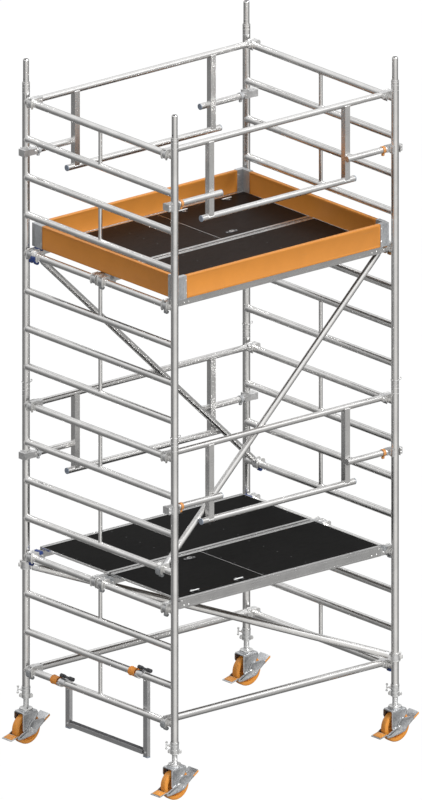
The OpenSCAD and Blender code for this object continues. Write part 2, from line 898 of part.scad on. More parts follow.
ladder_frame(left, 0);  // frame_lower_left
ladder_frame(right, 0);  // frame_lower_right
ladder_frame(left, 1);  // frame_upper_left
ladder_frame(right, 1);  // frame_upper_right
frame_clips();
base_beam_front();
base_beam_rear();
plan_brace();
brace_front();
brace_rear();
brace_locks();
guardrail_lower_front();
guardrail_lower_rear();
guardrail_upper_front();
guardrail_upper_rear();
guardrail_locks();
toeboard_front();
toeboard_rear();
toeboard_left();
toeboard_right();
toeboard_brackets();
deck_lower_front();
deck_lower_front_panel();
deck_lower_rear();
deck_lower_rear_panel();
deck_upper_front();
deck_upper_front_panel();
deck_upper_rear();
deck_upper_rear_panel();
hatch_lower();
hatch_upper();
hatch_pins();
wind_locks();
step_bracket();
step_bracket_clamps();
step_bracket_knobs();
at_post(left, front) spindle();  // spindle_fl
at_post(right, front) spindle();  // spindle_fr
at_post(left, rear) spindle();  // spindle_rl
at_post(right, rear) spindle();  // spindle_rr
at_post(left, front) nut();  // nut_fl
at_post(right, front) nut();  // nut_fr
at_post(left, rear) nut();  // nut_rl
at_post(right, rear) nut();  // nut_rr
at_post(left, front) fork();  // fork_fl
at_post(right, front) fork();  // fork_fr
at_post(left, rear) fork();  // fork_rl
at_post(right, rear) fork();  // fork_rr
at_post(left, front) axle();  // axle_fl
at_post(right, front) axle();  // axle_fr
at_post(left, rear) axle();  // axle_rl
at_post(right, rear) axle();  // axle_rr
at_post(left, front) wheel();  // wheel_fl
at_post(right, front) wheel();  // wheel_fr
at_post(left, rear) wheel();  // wheel_rl
at_post(right, rear) wheel();  // wheel_rr
at_post(left, front) brake_lever();  // brake_lever_fl
at_post(right, front) brake_lever();  // brake_lever_fr
at_post(left, rear) brake_lever();  // brake_lever_rl
at_post(right, rear) brake_lever();  // brake_lever_rr
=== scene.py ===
"""Mobile tower scaffold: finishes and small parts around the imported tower."""
import math
import bmesh
import bpy
from mathutils import Matrix, Vector


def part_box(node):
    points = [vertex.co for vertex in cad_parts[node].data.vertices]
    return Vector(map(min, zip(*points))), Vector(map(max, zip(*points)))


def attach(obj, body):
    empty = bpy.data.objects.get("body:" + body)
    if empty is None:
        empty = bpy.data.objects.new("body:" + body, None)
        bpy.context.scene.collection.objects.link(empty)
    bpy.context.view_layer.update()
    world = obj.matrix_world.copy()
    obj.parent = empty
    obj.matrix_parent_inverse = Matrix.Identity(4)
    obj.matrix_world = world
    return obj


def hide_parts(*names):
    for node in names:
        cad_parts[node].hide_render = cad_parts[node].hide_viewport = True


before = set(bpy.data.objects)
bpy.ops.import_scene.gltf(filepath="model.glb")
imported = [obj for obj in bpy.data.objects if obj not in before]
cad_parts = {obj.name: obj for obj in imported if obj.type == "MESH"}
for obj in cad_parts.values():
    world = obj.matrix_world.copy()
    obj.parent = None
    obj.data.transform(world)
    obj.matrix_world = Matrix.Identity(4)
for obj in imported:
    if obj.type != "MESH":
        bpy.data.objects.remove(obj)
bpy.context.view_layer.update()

# ---- Camera, lights and floor ----------------------------------------------
# A parallel view from above the front left corner of the tower, a dome that
# darkens downwards, a broad key light over the front right and a weak fill. The
# pale floor glows, takes no shadow and lies below the wound-out castors.
back = Vector((-0.6087, -0.7280, 0.3156)).normalized()
upward = Vector((0.2024, 0.2421, 0.949)).normalized()
sideways = upward.cross(back).normalized()
aim_height, view_height, camera_reach = 1.891, 5.0125, 12
aim = Vector((0.004, 0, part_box("frame_lower_left")[0][2] + aim_height))
eye = bpy.data.cameras.new("camera")
eye.type = "ORTHO"
eye.ortho_scale = view_height
eye.clip_end = 200
camera = bpy.data.objects.new("camera", eye)
camera.matrix_world = Matrix.Translation(aim + back * camera_reach) @ Matrix(
    (sideways, upward, back)).transposed().to_4x4()
bpy.context.collection.objects.link(camera)
bpy.context.scene.camera = camera
bpy.context.scene.view_settings.view_transform = "Standard"


class Reading:
    """A node's output; a sum on it adds a Math node to its finish."""

    def __init__(self, finish, socket):
        self.finish, self.socket = finish, socket

    def maths(self, operation, *values):
        return self.finish.node("ShaderNodeMath", {"operation": operation},
            dict(enumerate(values)))

    def __add__(self, other):
        return self.maths("ADD", self, other)

    def __sub__(self, other):
        return self.maths("SUBTRACT", self, other)

    def __rsub__(self, other):
        return self.maths("SUBTRACT", other, self)

    def __mul__(self, other):
        return self.maths("MULTIPLY", self, other)

    def __gt__(self, other):
        return self.maths("GREATER_THAN", self, other)

    def __lt__(self, other):
        return self.maths("LESS_THAN", self, other)

    def __abs__(self):
        return self.maths("ABSOLUTE", self)

    __radd__, __rmul__ = __add__, __mul__


class Finish:
    """One node tree. node() adds any node and returns its first output."""

    def __init__(self, tree, place):
        self.tree = tree
        self.place = self.node("ShaderNodeTexCoord", output=place)

    def node(self, kind, settings=(), values=(), output=0):
        made = self.tree.nodes.new(kind)
        for name, value in dict(settings).items():
            if name == "stops":
                ramp = made.color_ramp
                while len(ramp.elements) < len(value):
                    ramp.elements.new(0.5)
                for stop, (where, tone) in zip(ramp.elements, value):
                    stop.position = where
                    stop.color = (*tone, 1) if isinstance(tone, tuple) else (tone,) * 3 + (1,)
            else:
                setattr(made, name, value)
        for name, value in dict(values).items():
            self.feed(made.inputs[name], value)
        return Reading(self, made.outputs[output])

    def feed(self, socket, value):
        if isinstance(value, Reading):
            self.tree.links.new(value.socket, socket)
        else:
            socket.default_value = value

    def part(self, axis):
        """The X, Y or Z of the place."""
        return self.node("ShaderNodeSeparateXYZ", values={0: self.place}, output=axis)

    def blend(self, share, first, second):
        """From the first colour to the second as share goes from 0 to 1."""
        first, second = ((*c, 1) if isinstance(c, tuple) else c for c in (first, second))
        return self.node("ShaderNodeMix", {"data_type": "RGBA"},
            {0: share, 6: first, 7: second}, output=2)

    def stretched(self, along, across, axis):
        """The place, squeezed so that a pattern runs in long lines along an axis."""
        scale = tuple(along if a == axis else across for a in "XYZ")
        return self.node("ShaderNodeMapping", values={"Vector": self.place, "Scale": scale})

    def noise(self, scale, detail=3, place=None, rough=0.5):
        return self.node("ShaderNodeTexNoise", values={"Vector": place or self.place,
            "Scale": scale, "Detail": detail, "Roughness": rough})

    def ramp(self, value, low, high, start=0.0, end=1.0):
        """start below low, end above high, and evenly between them."""
        return self.node("ShaderNodeMapRange", values={0: value, 1: low, 2: high,
            3: start, 4: end})


sky = bpy.data.worlds.new("dome")
bpy.context.scene.world = sky
sky.use_nodes = True
dome = Finish(sky.node_tree, "Generated")
tone = dome.node("ShaderNodeValToRGB", {"stops": [(0.0, 0.16), (0.32, 0.19), (0.46, 0.30),
    (0.62, 0.54), (0.76, 0.98), (1.0, 0.90)]}, {0: dome.part(2) * 0.5 + 0.5})
towards = dome.node("ShaderNodeVectorMath", {"operation": "DOT_PRODUCT"},
    {0: dome.place, 1: (-0.27, -0.91, -0.31)}, output=1)
glow = dome.ramp(towards, 0.36, 1.0, 0.0, 0.86)
surroundings = sky.node_tree.nodes["Background"]
dome.feed(surroundings.inputs["Color"], dome.blend(glow, tone, (1.0, 0.99, 0.97)))
surroundings.inputs["Strength"].default_value = 1.0

for name, strength, spread, direction in (
        ("key", 2.5, 16, (0.35, -1.0, 0.95)),
        ("overhead", 0.9, 40, (0.1, 0.1, 1.0)),
        ("fill", 0.2, 60, (-1.0, -0.2, 0.5))):
    lamp = bpy.data.lights.new(name, "SUN")
    lamp.energy = strength
    lamp.angle = math.radians(spread)
    light = bpy.data.objects.new(name, lamp)
    light.rotation_euler = Vector(direction).to_track_quat("Z", "Y").to_euler()
    bpy.context.collection.objects.link(light)

bpy.ops.object.select_all(action="DESELECT")
spindle_travel, floor_gap = 0.25, 0.001
bpy.ops.mesh.primitive_plane_add(size=160, location=(0, 0, -spindle_travel - floor_gap))
floor = bpy.context.object
floor.name = "floor"
floor_paint = bpy.data.materials.new("pale_floor")
floor_paint.use_nodes = True
pale = floor_paint.node_tree.nodes["Principled BSDF"].inputs
pale["Base Color"].default_value = (0.02, 0.02, 0.02, 1)
pale["Roughness"].default_value = 1
pale["Specular IOR Level"].default_value = 0
pale["Emission Color"].default_value = (1, 1, 1, 1)
pale["Emission Strength"].default_value = 0.985
floor.data.materials.append(floor_paint)
floor.visible_glossy = False
floor.visible_diffuse = False

# ---- Ladder frames ---------------------------------------------------------
# Two posts and eight rungs of drawn aluminium tube, welded, with short struts
# between pairs of rungs. The rungs are ribbed along their length for grip.
post_x, post_y, post_r = 0.9, 0.72585, 0.02415
rung_r, strut_r, rung_step = 0.02225, 0.0125, 0.25
foot_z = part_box("frame_lower_left")[0][2]
first_rung = foot_z + rung_step / 2
frame_top = {"lower": foot_z + 2, "upper": foot_z + 4}


def at(x, y, z):
    """A move to a place."""
    return Matrix.Translation((x, y, z))


def turned(degrees, axis):
    """A turn about an axis through the origin."""
    return Matrix.Rotation(math.radians(degrees), 4, axis)


half_turn = turned(180, "Z")


def rung_z(number):
    return first_rung + (number - 1) * rung_step


def new_paint(name, metallic=0.0, **constants):
    """A material, its finish, and the call that lays colour, gloss and relief on it."""
    material = bpy.data.materials.new(name)
    material.use_nodes = True
    shader = material.node_tree.nodes["Principled BSDF"]
    for socket, value in constants.items():
        shader.inputs[socket].default_value = value
    finish = Finish(material.node_tree, "Object")

    def coat(colour, roughness, height, depth=0.0002, strength=0.5, metallic=metallic):
        finish.feed(shader.inputs["Base Color"], colour)
        finish.feed(shader.inputs["Metallic"], metallic)
        finish.feed(shader.inputs["Roughness"], roughness)
        finish.feed(shader.inputs["Normal"], finish.node("ShaderNodeBump",
            values={"Height": height, "Distance": depth, "Strength": strength}))
    return material, finish, coat


def tube_metal(name, axis, cast_from=None, ribbed=False, tint=(1.0, 1.0, 1.0), gloss=0.16):
    """Drawn aluminium, its lines along an axis; cast beyond cast_from in |x|."""
    material, finish, coat = new_paint(name, metallic=0.97)
    drawn = finish.noise(60, 2, finish.stretched(0.04, 8, axis))
    if ribbed:
        upright = finish.noise(60, 2, finish.stretched(0.04, 8, "Z"))
        on_post = abs(finish.part(1)) > post_y - post_r
        drawn = finish.node("ShaderNodeMix", {"data_type": "FLOAT"},
            {0: on_post, 2: drawn, 3: upright})
    smudge = finish.noise(7, 4, rough=0.6)
    handled = finish.ramp(finish.noise(21, 5, rough=0.6), 0.58, 0.74)
    bright = tuple(t * c for t, c in zip(tint, (0.84, 0.832, 0.82)))
    dull = tuple(t * c for t, c in zip(tint, (0.68, 0.675, 0.67)))
    colour = finish.blend(finish.ramp(smudge, 0.3, 0.75), bright, dull)
    colour = finish.blend(handled * 0.16, colour, tuple(0.5 * t for t in tint))
    roughness = gloss + drawn * 0.10 + smudge * 0.08 + handled * 0.06
    relief = drawn * 0.14
    if ribbed:
        near_rung = finish.part(2).maths("PINGPONG", finish.part(2) - first_rung, rung_step / 2)
        around = near_rung.maths("ARCTAN2", near_rung, abs(finish.part(0)) - post_x)
        ribs = around.maths("SINE", around * 36) * 0.5 + 0.5
        relief = relief + ribs * (1 - on_post) * 0.34
    if cast_from:
        cast = finish.ramp(abs(finish.part(0)), cast_from, cast_from + 0.001)
        grain = finish.noise(420, 3)
        pits = finish.noise(46, 4, rough=0.65)
        colour = finish.blend(cast, colour, finish.blend(finish.ramp(pits, 0.35, 0.7),
            tuple(0.80 * t for t in tint), tuple(0.62 * t for t in tint)))
        roughness = roughness + cast * (0.12 + grain * 0.12)
        relief = relief * (1 - cast) + cast * grain * 0.7
    coat(colour, roughness, relief, 0.0003, 0.6)
    return material


def dress(material, *nodes):
    """Carried-over nodes take this finish."""
    for node in nodes:
        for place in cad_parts[node].material_slots:
            place.link = "OBJECT"
            place.material = material


frame_metal = tube_metal("drawn_frame_tube", "Y", ribbed=True)
dress(frame_metal, *(f"frame_{level}_{side}" for level in frame_top for side in ("left", "right")))


def begin(add, **values):
    """A new primitive, alone selected and open for shaping."""
    bpy.ops.object.select_all(action="DESELECT")
    add(**values)
    bpy.ops.object.mode_set(mode="EDIT")


def pick(test, kind="FACE"):
    """Selects the faces, edges or points for which test(centre, normal) holds."""
    bpy.ops.mesh.select_mode(type=kind)
    bpy.ops.mesh.select_all(action="DESELECT")
    shape = bmesh.from_edit_mesh(bpy.context.object.data)
    for part in {"FACE": shape.faces, "EDGE": shape.edges, "VERT": shape.verts}[kind]:
        if kind == "FACE":
            part.select_set(test(part.calc_center_median(), part.normal))
        elif kind == "EDGE":
            part.select_set(test((part.verts[0].co + part.verts[1].co) / 2, None))
        else:
            part.select_set(test(part.co, part.normal))
    shape.select_flush_mode()
    bmesh.update_edit_mesh(bpy.context.object.data)


def reshape(move):
    """Moves each point of the open mesh to move(point)."""
    shape = bmesh.from_edit_mesh(bpy.context.object.data)
    for point in shape.verts:
        point.co = move(point.co.copy())
    bmesh.update_edit_mesh(bpy.context.object.data)


def close(rounding=0.0, steps=2, crease=35):
    """Ends shaping: sits at the origin, edges rounded, shaded smooth up to an angle."""
    bpy.ops.object.mode_set(mode="OBJECT")
    piece = bpy.context.object
    bpy.ops.object.transform_apply(location=True, rotation=True, scale=True)
    if rounding:
        edges = piece.modifiers.new("edges", "BEVEL")
        edges.width, edges.segments = rounding, steps
        edges.limit_method, edges.angle_limit = "ANGLE", math.radians(crease)
        edges.use_clamp_overlap = True
        bpy.ops.object.modifier_apply(modifier="edges")
    bpy.ops.object.shade_smooth_by_angle(angle=math.radians(crease))
    return piece


def joined(parts):
    bpy.ops.object.select_all(action="DESELECT")
    for part in parts:
        part.select_set(True)
    bpy.context.view_layer.objects.active = parts[0]
    bpy.ops.object.join()
    return bpy.context.object


def copied(model, place):
    piece = model.copy()
    piece.data = model.data.copy()
    piece.data.transform(place)
    bpy.context.collection.objects.link(piece)
    return piece


def moved(piece, place):
    """The piece itself, its mesh moved."""
    piece.data.transform(place)
    return piece


def spread(model, places):
    """The model at every place, as one mesh; the model itself goes."""
    piece = joined([copied(model, place) for place in places])
    bpy.data.objects.remove(model)
    return piece


def fitted(piece, name, body, slot, material, *stands_for):
    """Names a finished piece and ties it to its body and finish; slot is not used."""
    piece.name = name
    piece.data.name = name
    piece.data.materials.clear()
    piece.data.materials.append(material)
    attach(piece, body)
    if stands_for:
        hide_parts(*stands_for)
    return piece


def begin_hoop(radius, wire, around, section):
    """A hoop of round wire, open for shaping, with so many steps around and across."""
    begin(bpy.ops.mesh.primitive_torus_add, major_radius=radius, minor_radius=wire,
        major_segments=around, minor_segments=section)


def saddle_bead(tube_r, onto_r):
    """A rippled weld round a tube along Z, where it meets a tube along Y below it."""
    ripples = 26
    begin_hoop(tube_r + 0.0006, 0.0026, 52, 8)

    def wrap(point):
        turn = math.atan2(point.y, point.x)
        swell = 1 + 0.035 * math.sin(ripples * turn)
        point.x, point.y = point.x * swell, point.y * swell
        drop = min(abs(point.x), 0.94 * onto_r)
        point.z += math.sqrt(onto_r ** 2 - drop ** 2)
        return point
    reshape(wrap)
    return close()


weld_metal, weld, weld_coat = new_paint("weld_bead", metallic=0.85)
weld_soot = weld.noise(60, 4)
weld_coat(weld.blend(weld_soot, (0.80, 0.79, 0.77), (0.52, 0.52, 0.53)), 0.34 + weld_soot * 0.2,
    weld.noise(500, 2) + weld_soot, 0.0003, 0.5)

post_weld = saddle_bead(rung_r, post_r)
strut_weld = saddle_bead(strut_r, rung_r)
head_ring_z = (-0.011, -0.034, -0.068)
begin_hoop(post_r, 0.0013, 48, 8)
reshape(lambda point: Vector((point.x, point.y, point.z * 1.6)))
head_ring = close()
lie_back = turned(-90, "X")
for level, top in frame_top.items():
    rungs = range(1, 9) if level == "lower" else range(9, 17)
    for side, x in (("left", -post_x), ("right", post_x)):
        welds = []
        for number in rungs:
            z = rung_z(number)
            at_front = at(x, -post_y, z) @ lie_back
            at_rear = at(x, post_y, z) @ half_turn @ lie_back
            welds += [copied(post_weld, at_front), copied(post_weld, at_rear)]
            if number % 2:
                welds.append(copied(strut_weld, at(x, 0, z)))
            else:
                welds.append(copied(strut_weld, at(x, 0, z)
                    @ turned(180, "Y")))
        for y in (-post_y, post_y):
            for drop in head_ring_z:
                welds.append(copied(head_ring, at(x, y, top + drop)))
        fitted(joined(welds), f"frame_{level}_{side}_welds", "tower", "aluminium_tube", weld_metal)
for model in (post_weld, strut_weld, head_ring):
    bpy.data.objects.remove(model)

# ---- Spring clips ----------------------------------------------------------
# A steel pin goes through post and spigot where two frames meet, and a bent
# wire round the post keeps it in. Zinc plated; four of them, all alike.


def zinc(name, dark=(0.36, 0.37, 0.385), pale=(0.68, 0.69, 0.70), shine=0.22):
    material, finish, coat = new_paint(name, metallic=0.88)
    crystals = finish.node("ShaderNodeTexVoronoi", {"feature": "F1"},
        {"Vector": finish.place, "Scale": 150}, output=1)
    grey = finish.node("ShaderNodeSeparateColor", values={0: crystals})
    cloud = finish.noise(18, 4)
    coat(finish.blend(grey * 0.6 + cloud * 0.4, dark, pale),
        shine + grey * 0.12 + cloud * 0.16, grey + cloud, 0.0001, 0.35)
    return material


def bar(radius, low, high, steps=(), sides=32, rounding=0.0, low_steps=None):
    """A round bar up Z; each end is stepped by (inset, rise) pairs."""
    begin(bpy.ops.mesh.primitive_cylinder_add, vertices=sides, radius=radius,
        depth=high - low, location=(0, 0, (low + high) / 2))
    for end, cuts in ((1, steps), (-1, steps if low_steps is None else low_steps)):
        pick(lambda centre, normal: normal.z * end > 0.99)
        for inset, rise in cuts:
            bpy.ops.mesh.inset(thickness=inset, depth=rise)
    return close(rounding)


galvanised = zinc("galvanised_steel")
bright_zinc = zinc("zinc_plated_steel", (0.55, 0.555, 0.56), (0.83, 0.83, 0.82), 0.18)
clip_z, wire_r = frame_top["lower"] + 0.02, 0.0022
along_x = turned(90, "Y")
along_y = turned(90, "X")
pin = bar(0.0049, -post_r - 0.006, post_r + 0.006, ((0.001, 0.001), (0.0015, 0.0005)))
pin.data.transform(along_x)
begin_hoop(post_r + wire_r + 0.0006, wire_r, 48, 10)
pick(lambda centre, normal: centre.x < -0.018)
bpy.ops.mesh.delete(type="FACE")
pick(lambda centre, normal: centre.x < -0.0155, "EDGE")
bpy.ops.mesh.edge_face_add()
wire = close()
begin_hoop(0.0085, wire_r, 28, 8)
reshape(lambda point: Vector((point.x * 1.25, point.y, point.z)))
pull = close()
pull.data.transform(at(post_r + 0.014, 0, 0) @ along_y)
clip = joined([pin, wire, pull])
clips = spread(clip, [at(x, y, clip_z)
    for x in (-post_x, post_x) for y in (-post_y, post_y)])
fitted(clips, "frame_spring_clips", "tower", "galvanised_steel", bright_zinc, "frame_clips")

# ---- Base beams and braces -------------------------------------------------
# Aluminium tubes with cast hooks riveted in their ends. The rivets and the
# ribs that stiffen the casting stand on both cheeks of each hook.
rail_metal = tube_metal("drawn_rail_tube", "X", cast_from=0.838)
dress(rail_metal, "base_beam_front", "base_beam_rear", "guardrail_lower_front",
    "guardrail_lower_rear", "guardrail_upper_front", "guardrail_upper_rear")
brace_metal = tube_metal("drawn_brace_tube", "X", cast_from=0.848)
dress(brace_metal, "brace_front", "brace_rear", "plan_brace")
rail_y, brace_y, rail_lift = 0.65585, 0.60985, 0.018
claw_w = 0.044

cast_metal, cast, cast_coat = new_paint("cast_aluminium", metallic=0.85)
cast_pits = cast.noise(46, 4, rough=0.65)
cast_coat(cast.blend(cast.ramp(cast_pits, 0.35, 0.7), (0.82, 0.815, 0.80), (0.62, 0.62, 0.615)),
    0.34 + cast_pits * 0.12, cast.noise(420, 3), 0.0002, 0.4)

rivet = bar(0.0052, 0, 0.0012, ((0.0012, 0.0010), (0.0016, 0.0005)), 16, low_steps=())
bolt = bar(0.0075, 0, 0.0042, ((0.0007, 0.0005), (0.0034, 0.0), (0.0003, 0.0016),
    (0.0006, 0.0004)), 6, low_steps=())


def plate(outline, low, high, axis="Y", rounding=0.0, emboss=None, steps=2):
    """A flat shape cut to an outline, thick along an axis; emboss presses both sides in."""
    begin(bpy.ops.mesh.primitive_circle_add, vertices=len(outline), fill_type="NGON")
    spots = {"X": lambda a, b: (low, a, b), "Y": lambda a, b: (a, low, b),
        "Z": lambda a, b: (a, b, low)}[axis]
    shape = bmesh.from_edit_mesh(bpy.context.object.data)
    for point, (a, b) in zip(shape.verts, outline):
        point.co = spots(a, b)
    bmesh.update_edit_mesh(bpy.context.object.data)
    bpy.ops.mesh.select_all(action="SELECT")
    bpy.ops.mesh.extrude_region_move(TRANSFORM_OT_translate={"value": tuple(
        (high - low) * (axis == letter) for letter in "XYZ")})
    bpy.ops.mesh.select_all(action="SELECT")
    bpy.ops.mesh.normals_make_consistent(inside=False)
    if emboss:
        for end in (-1, 1):
            pick(lambda centre, normal: normal["XYZ".index(axis)] * end > 0.99)
            bpy.ops.mesh.inset(thickness=emboss[0], depth=0)
            bpy.ops.mesh.inset(thickness=emboss[1], depth=emboss[2])
    return close(rounding, steps)


def arc(radius, degrees):
    """Points on a circle round the origin, in the order of the angles."""
    return [(radius * math.cos(math.radians(a)), radius * math.sin(math.radians(a)))
        for a in degrees]


def claw_fittings(width, neck, bolt_z, bolted=True):
    """Cheek ribs and fixings of one hook, round the middle of its rung."""
    reach, rung_hold_r, sunk, proud = width / 2, 0.0227, 0.003, 0.0022
    cheek = [(-0.0335, -0.0095), (-0.0365, 0.012), (-0.0360, 0.0315), (-0.0285, 0.0385),
        (0.0250, 0.0385), (0.0365, 0.0285), (0.0385, -0.0140), (0.0330, -0.0285),
        (0.0225, -0.0300)]
    cheek += arc(rung_hold_r, range(-42, 200, 11))
    parts = []
    for end in (-1, 1):
        low, high = sorted((end * (reach - sunk), end * (reach + proud)))
        parts.append(plate(cheek, low, high, "Y", 0.0008, steps=1))
        outwards = at(-neck, end * reach, bolt_z) @ turned(-90 * end, "X")
        parts.append(copied(bolt if bolted else rivet, outwards))
    return joined(parts)


def at_rung(side, y, z):
    """The place of a hook on a rung; its own +X points out of the bay."""
    place = at(side * post_x, y, z)
    return place if side > 0 else place @ half_turn


rail_claw = claw_fittings(claw_w, 0.047, 0.017)
beam_claws = [at_rung(side, y, rung_z(1)) for side in (-1, 1) for y in (-rail_y, rail_y)]
fitted(spread(copied(rail_claw, Matrix()), beam_claws), "base_beam_hook_fittings", "tower",
    "aluminium_tube", cast_metal)
brace_claw = claw_fittings(claw_w, 0.0, 0.029, bolted=False)
brace_ends = [at_rung(-1, -brace_y, rung_z(5)), at_rung(1, -brace_y, rung_z(12))]
brace_ends += [half_turn @ place for place in brace_ends]
fitted(spread(brace_claw, brace_ends), "brace_hook_fittings", "tower", "aluminium_tube",
    cast_metal)


def ring(radius, low, high, wall, rounding=0.0, sides=48):
    """An open ring up Z, its wall inside its radius."""
    begin(bpy.ops.mesh.primitive_cylinder_add, vertices=sides, radius=radius, depth=high - low,
        end_fill_type="NOTHING", location=(0, 0, (low + high) / 2))
    bpy.ops.object.mode_set(mode="OBJECT")
    skin = bpy.context.object.modifiers.new("wall", "SOLIDIFY")
    skin.thickness, skin.offset = wall, -1
    bpy.ops.object.modifier_apply(modifier="wall")
    bpy.ops.object.mode_set(mode="EDIT")
    return close(rounding)


# ---- Plan brace couplers ---------------------------------------------------
# Half couplers of cast aluminium, closed round a post by a swing bolt with a
# flanged nut. One below the lower level, one above the base beam.
plan_ends = ((-1, 1, rung_z(4) - 0.062), (1, -1, rung_z(1) + 0.066))
lip_drops = (-0.026, 0.0205)
coupler_parts = []
for x_side, y_side, z in plan_ends:
    axis = at(x_side * post_x, y_side * post_y, z)
    for drop in lip_drops:
        lip = ring(post_r + 0.0098, drop, drop + 0.0055, 0.0024, 0.0006)
        coupler_parts.append(copied(lip, axis))
        bpy.data.objects.remove(lip)
    outer = math.atan2(y_side * post_y, x_side * post_x)
    swing = bar(0.005, -0.02, 0.02, ((0.0008, 0.0008),), 16)
    cap_nut = bar(0.0095, 0.020, 0.030, ((0.001, 0.0008), (0.004, 0.001)), 6)
    eye_lug = plate([(0.0, -0.012), (0.014, -0.010), (0.017, 0.0), (0.014, 0.010), (0.0, 0.012)],
        -0.011, 0.011, "Z", 0.0015)
    closer = joined([swing, cap_nut, eye_lug])
    coupler_parts.append(copied(closer, axis @ turned(math.degrees(outer), "Z")
        @ at(post_r + 0.007, 0, 0)))
    bpy.data.objects.remove(closer)
fitted(joined(coupler_parts), "plan_brace_closers", "tower", "aluminium_tube", cast_metal)

# ---- Hook locks ------------------------------------------------------------
# Swinging tongues of moulded nylon on a rivet, one under each brace, beam and
# deck hook. Those at the back are blue, one brace lock is orange, others grey.
tongue = [(0.008, -0.0235), (0.0215, -0.0235), (0.0245, -0.029), (0.026, -0.036),
    (0.0235, -0.044), (0.018, -0.0485), (0.011, -0.050), (0.004, -0.0475), (-0.001, -0.042),
    (-0.0015, -0.034), (0.003, -0.0285), (0.008, -0.0265)]


def lock_nylon():
    material, finish, coat = new_paint("lock_nylon", IOR=1.5)
    above_base, above_upper_rail = 0.9, 2.6
    raised = finish.part(2) > above_base
    at_back = (finish.part(1) > 0.2) * raised + (finish.part(0) > 0.4) * (1 - raised)
    warm = (finish.part(1) < -0.4) * (finish.part(0) > 0.4) * (finish.part(2) > above_upper_rail)
    mottle = finish.noise(30, 4)
    fine = finish.noise(900, 2)
    grey = finish.blend(mottle, (0.30, 0.31, 0.32), (0.20, 0.21, 0.22))
    blue = finish.blend(mottle, (0.022, 0.055, 0.23), (0.012, 0.03, 0.13))
    rust = finish.blend(mottle, (0.42, 0.20, 0.06), (0.28, 0.12, 0.03))
    coat(finish.blend(warm, finish.blend(at_back, grey, blue), rust),
        0.38 + fine * 0.14, fine + mottle, 0.0002, 0.3)
    return material


def lock_model(width):
    pivot_x, pivot_z = 0.0145, -0.029
    body = plate(tongue, -width / 2, width / 2, "Y", 0.0014)
    grips = [plate([(0.022, -0.044 + 0.005 * i), (0.0268, -0.0435 + 0.005 * i),
        (0.0268, -0.0415 + 0.005 * i), (0.022, -0.041 + 0.005 * i)], -width / 2 + 0.003,
        width / 2 - 0.003, "Y", 0.0005, steps=1) for i in range(3)]
    heads = [copied(rivet, at(pivot_x, end * (width / 2 - 0.0002), pivot_z)
        @ turned(-90 * end, "X")) for end in (-1, 1)]
    return joined([body] + grips + heads)


nylon = lock_nylon()
rung_locks = [at_rung(-1, -brace_y, rung_z(5)), at_rung(1, -brace_y, rung_z(12)),
    at_rung(-1, -rail_y, rung_z(1)), at_rung(1, -rail_y, rung_z(1))]
rung_locks += [half_turn @ place for place in rung_locks]
slide = plate([(0.018, -0.036), (0.036, -0.034), (0.046, -0.020), (0.046, 0.004), (0.0385, 0.010),
    (0.0385, -0.016), (0.030, -0.0285), (0.018, -0.030)], -0.020, 0.020, "Y", 0.0022)
fitted(spread(joined([lock_model(0.026), slide]), rung_locks), "brace_lock_tongues", "tower",
    "lock_plastic", nylon, "brace_locks")

# ---- Guardrails ------------------------------------------------------------
# Top rail with two hooks, two square uprights and a lower rail, all welded;
# stubs with post hooks stand lower down. Open tube ends take nylon caps.
upright_x, stub_y, low_rail_x = 0.555, 0.69585, 0.62
rail_r, half_upright, rail_gap, stub_drop = 0.02, 0.02, 0.503, 0.33
rung_of_rail = {"lower": 8, "upper": 16}

cap_plastic, cap, cap_coat = new_paint("rail_cap_nylon")
cap_cloud = cap.noise(40, 3)
cap_coat(cap.blend(cap_cloud, (0.26, 0.30, 0.36), (0.17, 0.20, 0.25)), 0.36 + cap_cloud * 0.14,
    cap.noise(800, 2), 0.0002, 0.3)
end_cap = bar(rail_r + 0.0004, 0.0, 0.004, ((0.0012, 0.0012), (0.004, 0.0006), (0.003, -0.0008)),
    40, low_steps=())
end_cap.data.transform(along_x)
for level, number in rung_of_rail.items():
    for end, turn in (("front", Matrix()), ("rear", half_turn)):
        z = rung_z(number)
        low_z = z + rail_lift - rail_gap
        spots = [at_rung(-1, -rail_y, z), at_rung(1, -rail_y, z)]
        hooks = [copied(rail_claw, turn @ place) for place in spots]
        for side in (-1, 1):
            bolt_at = at(side * (post_x - 0.041), -stub_y + 0.0198,
                z - stub_drop) @ turned(-90, "X")
            hooks.append(copied(bolt, turn @ bolt_at))
            for up in (-0.012, 0.012):
                hooks.append(copied(rivet, turn @ at(side * (post_x + 0.044),
                    -post_y - 0.0078, z - stub_drop + up) @ along_y))
        fitted(joined(hooks), f"guardrail_{level}_{end}_hook_fittings", "tower",
            "aluminium_tube", cast_metal)
        seams = []
        for side in (-1, 1):
            for rail_z, way in ((low_z, 1), (z + rail_lift, -1)):
                begin_hoop(half_upright + 0.0008, 0.0022, 64, 6)

                def around_square(point, way=way):
                    turn_at = math.atan2(point.y, point.x)
                    square = 1 / max(abs(math.cos(turn_at)), abs(math.sin(turn_at)))
                    ripple = 1 + 0.02 * math.sin(34 * turn_at)
                    point.x *= min(square, 1.34) * ripple
                    point.y *= min(square, 1.34) * ripple
                    across = min(abs(point.y), 0.97 * rail_r)
                    point.z += way * math.sqrt(rail_r ** 2 - across ** 2)
                    return point
                reshape(around_square)
                seams.append(moved(close(), turn @ at(side * upright_x, -rail_y, rail_z)))
        fitted(joined(seams), f"guardrail_{level}_{end}_welds", "tower", "aluminium_tube",
            weld_metal)
        caps = [copied(end_cap, turn @ place) for place in (
            at(low_rail_x + 0.0031, -rail_y, low_z),
            at(-low_rail_x - 0.0031, -rail_y, low_z) @ half_turn,
            at(-0.4969, -stub_y - 0.0001, z - stub_drop))]
        fitted(joined(caps), f"guardrail_{level}_{end}_caps", "tower", "lock_plastic",
            cap_plastic)
bpy.data.objects.remove(end_cap)
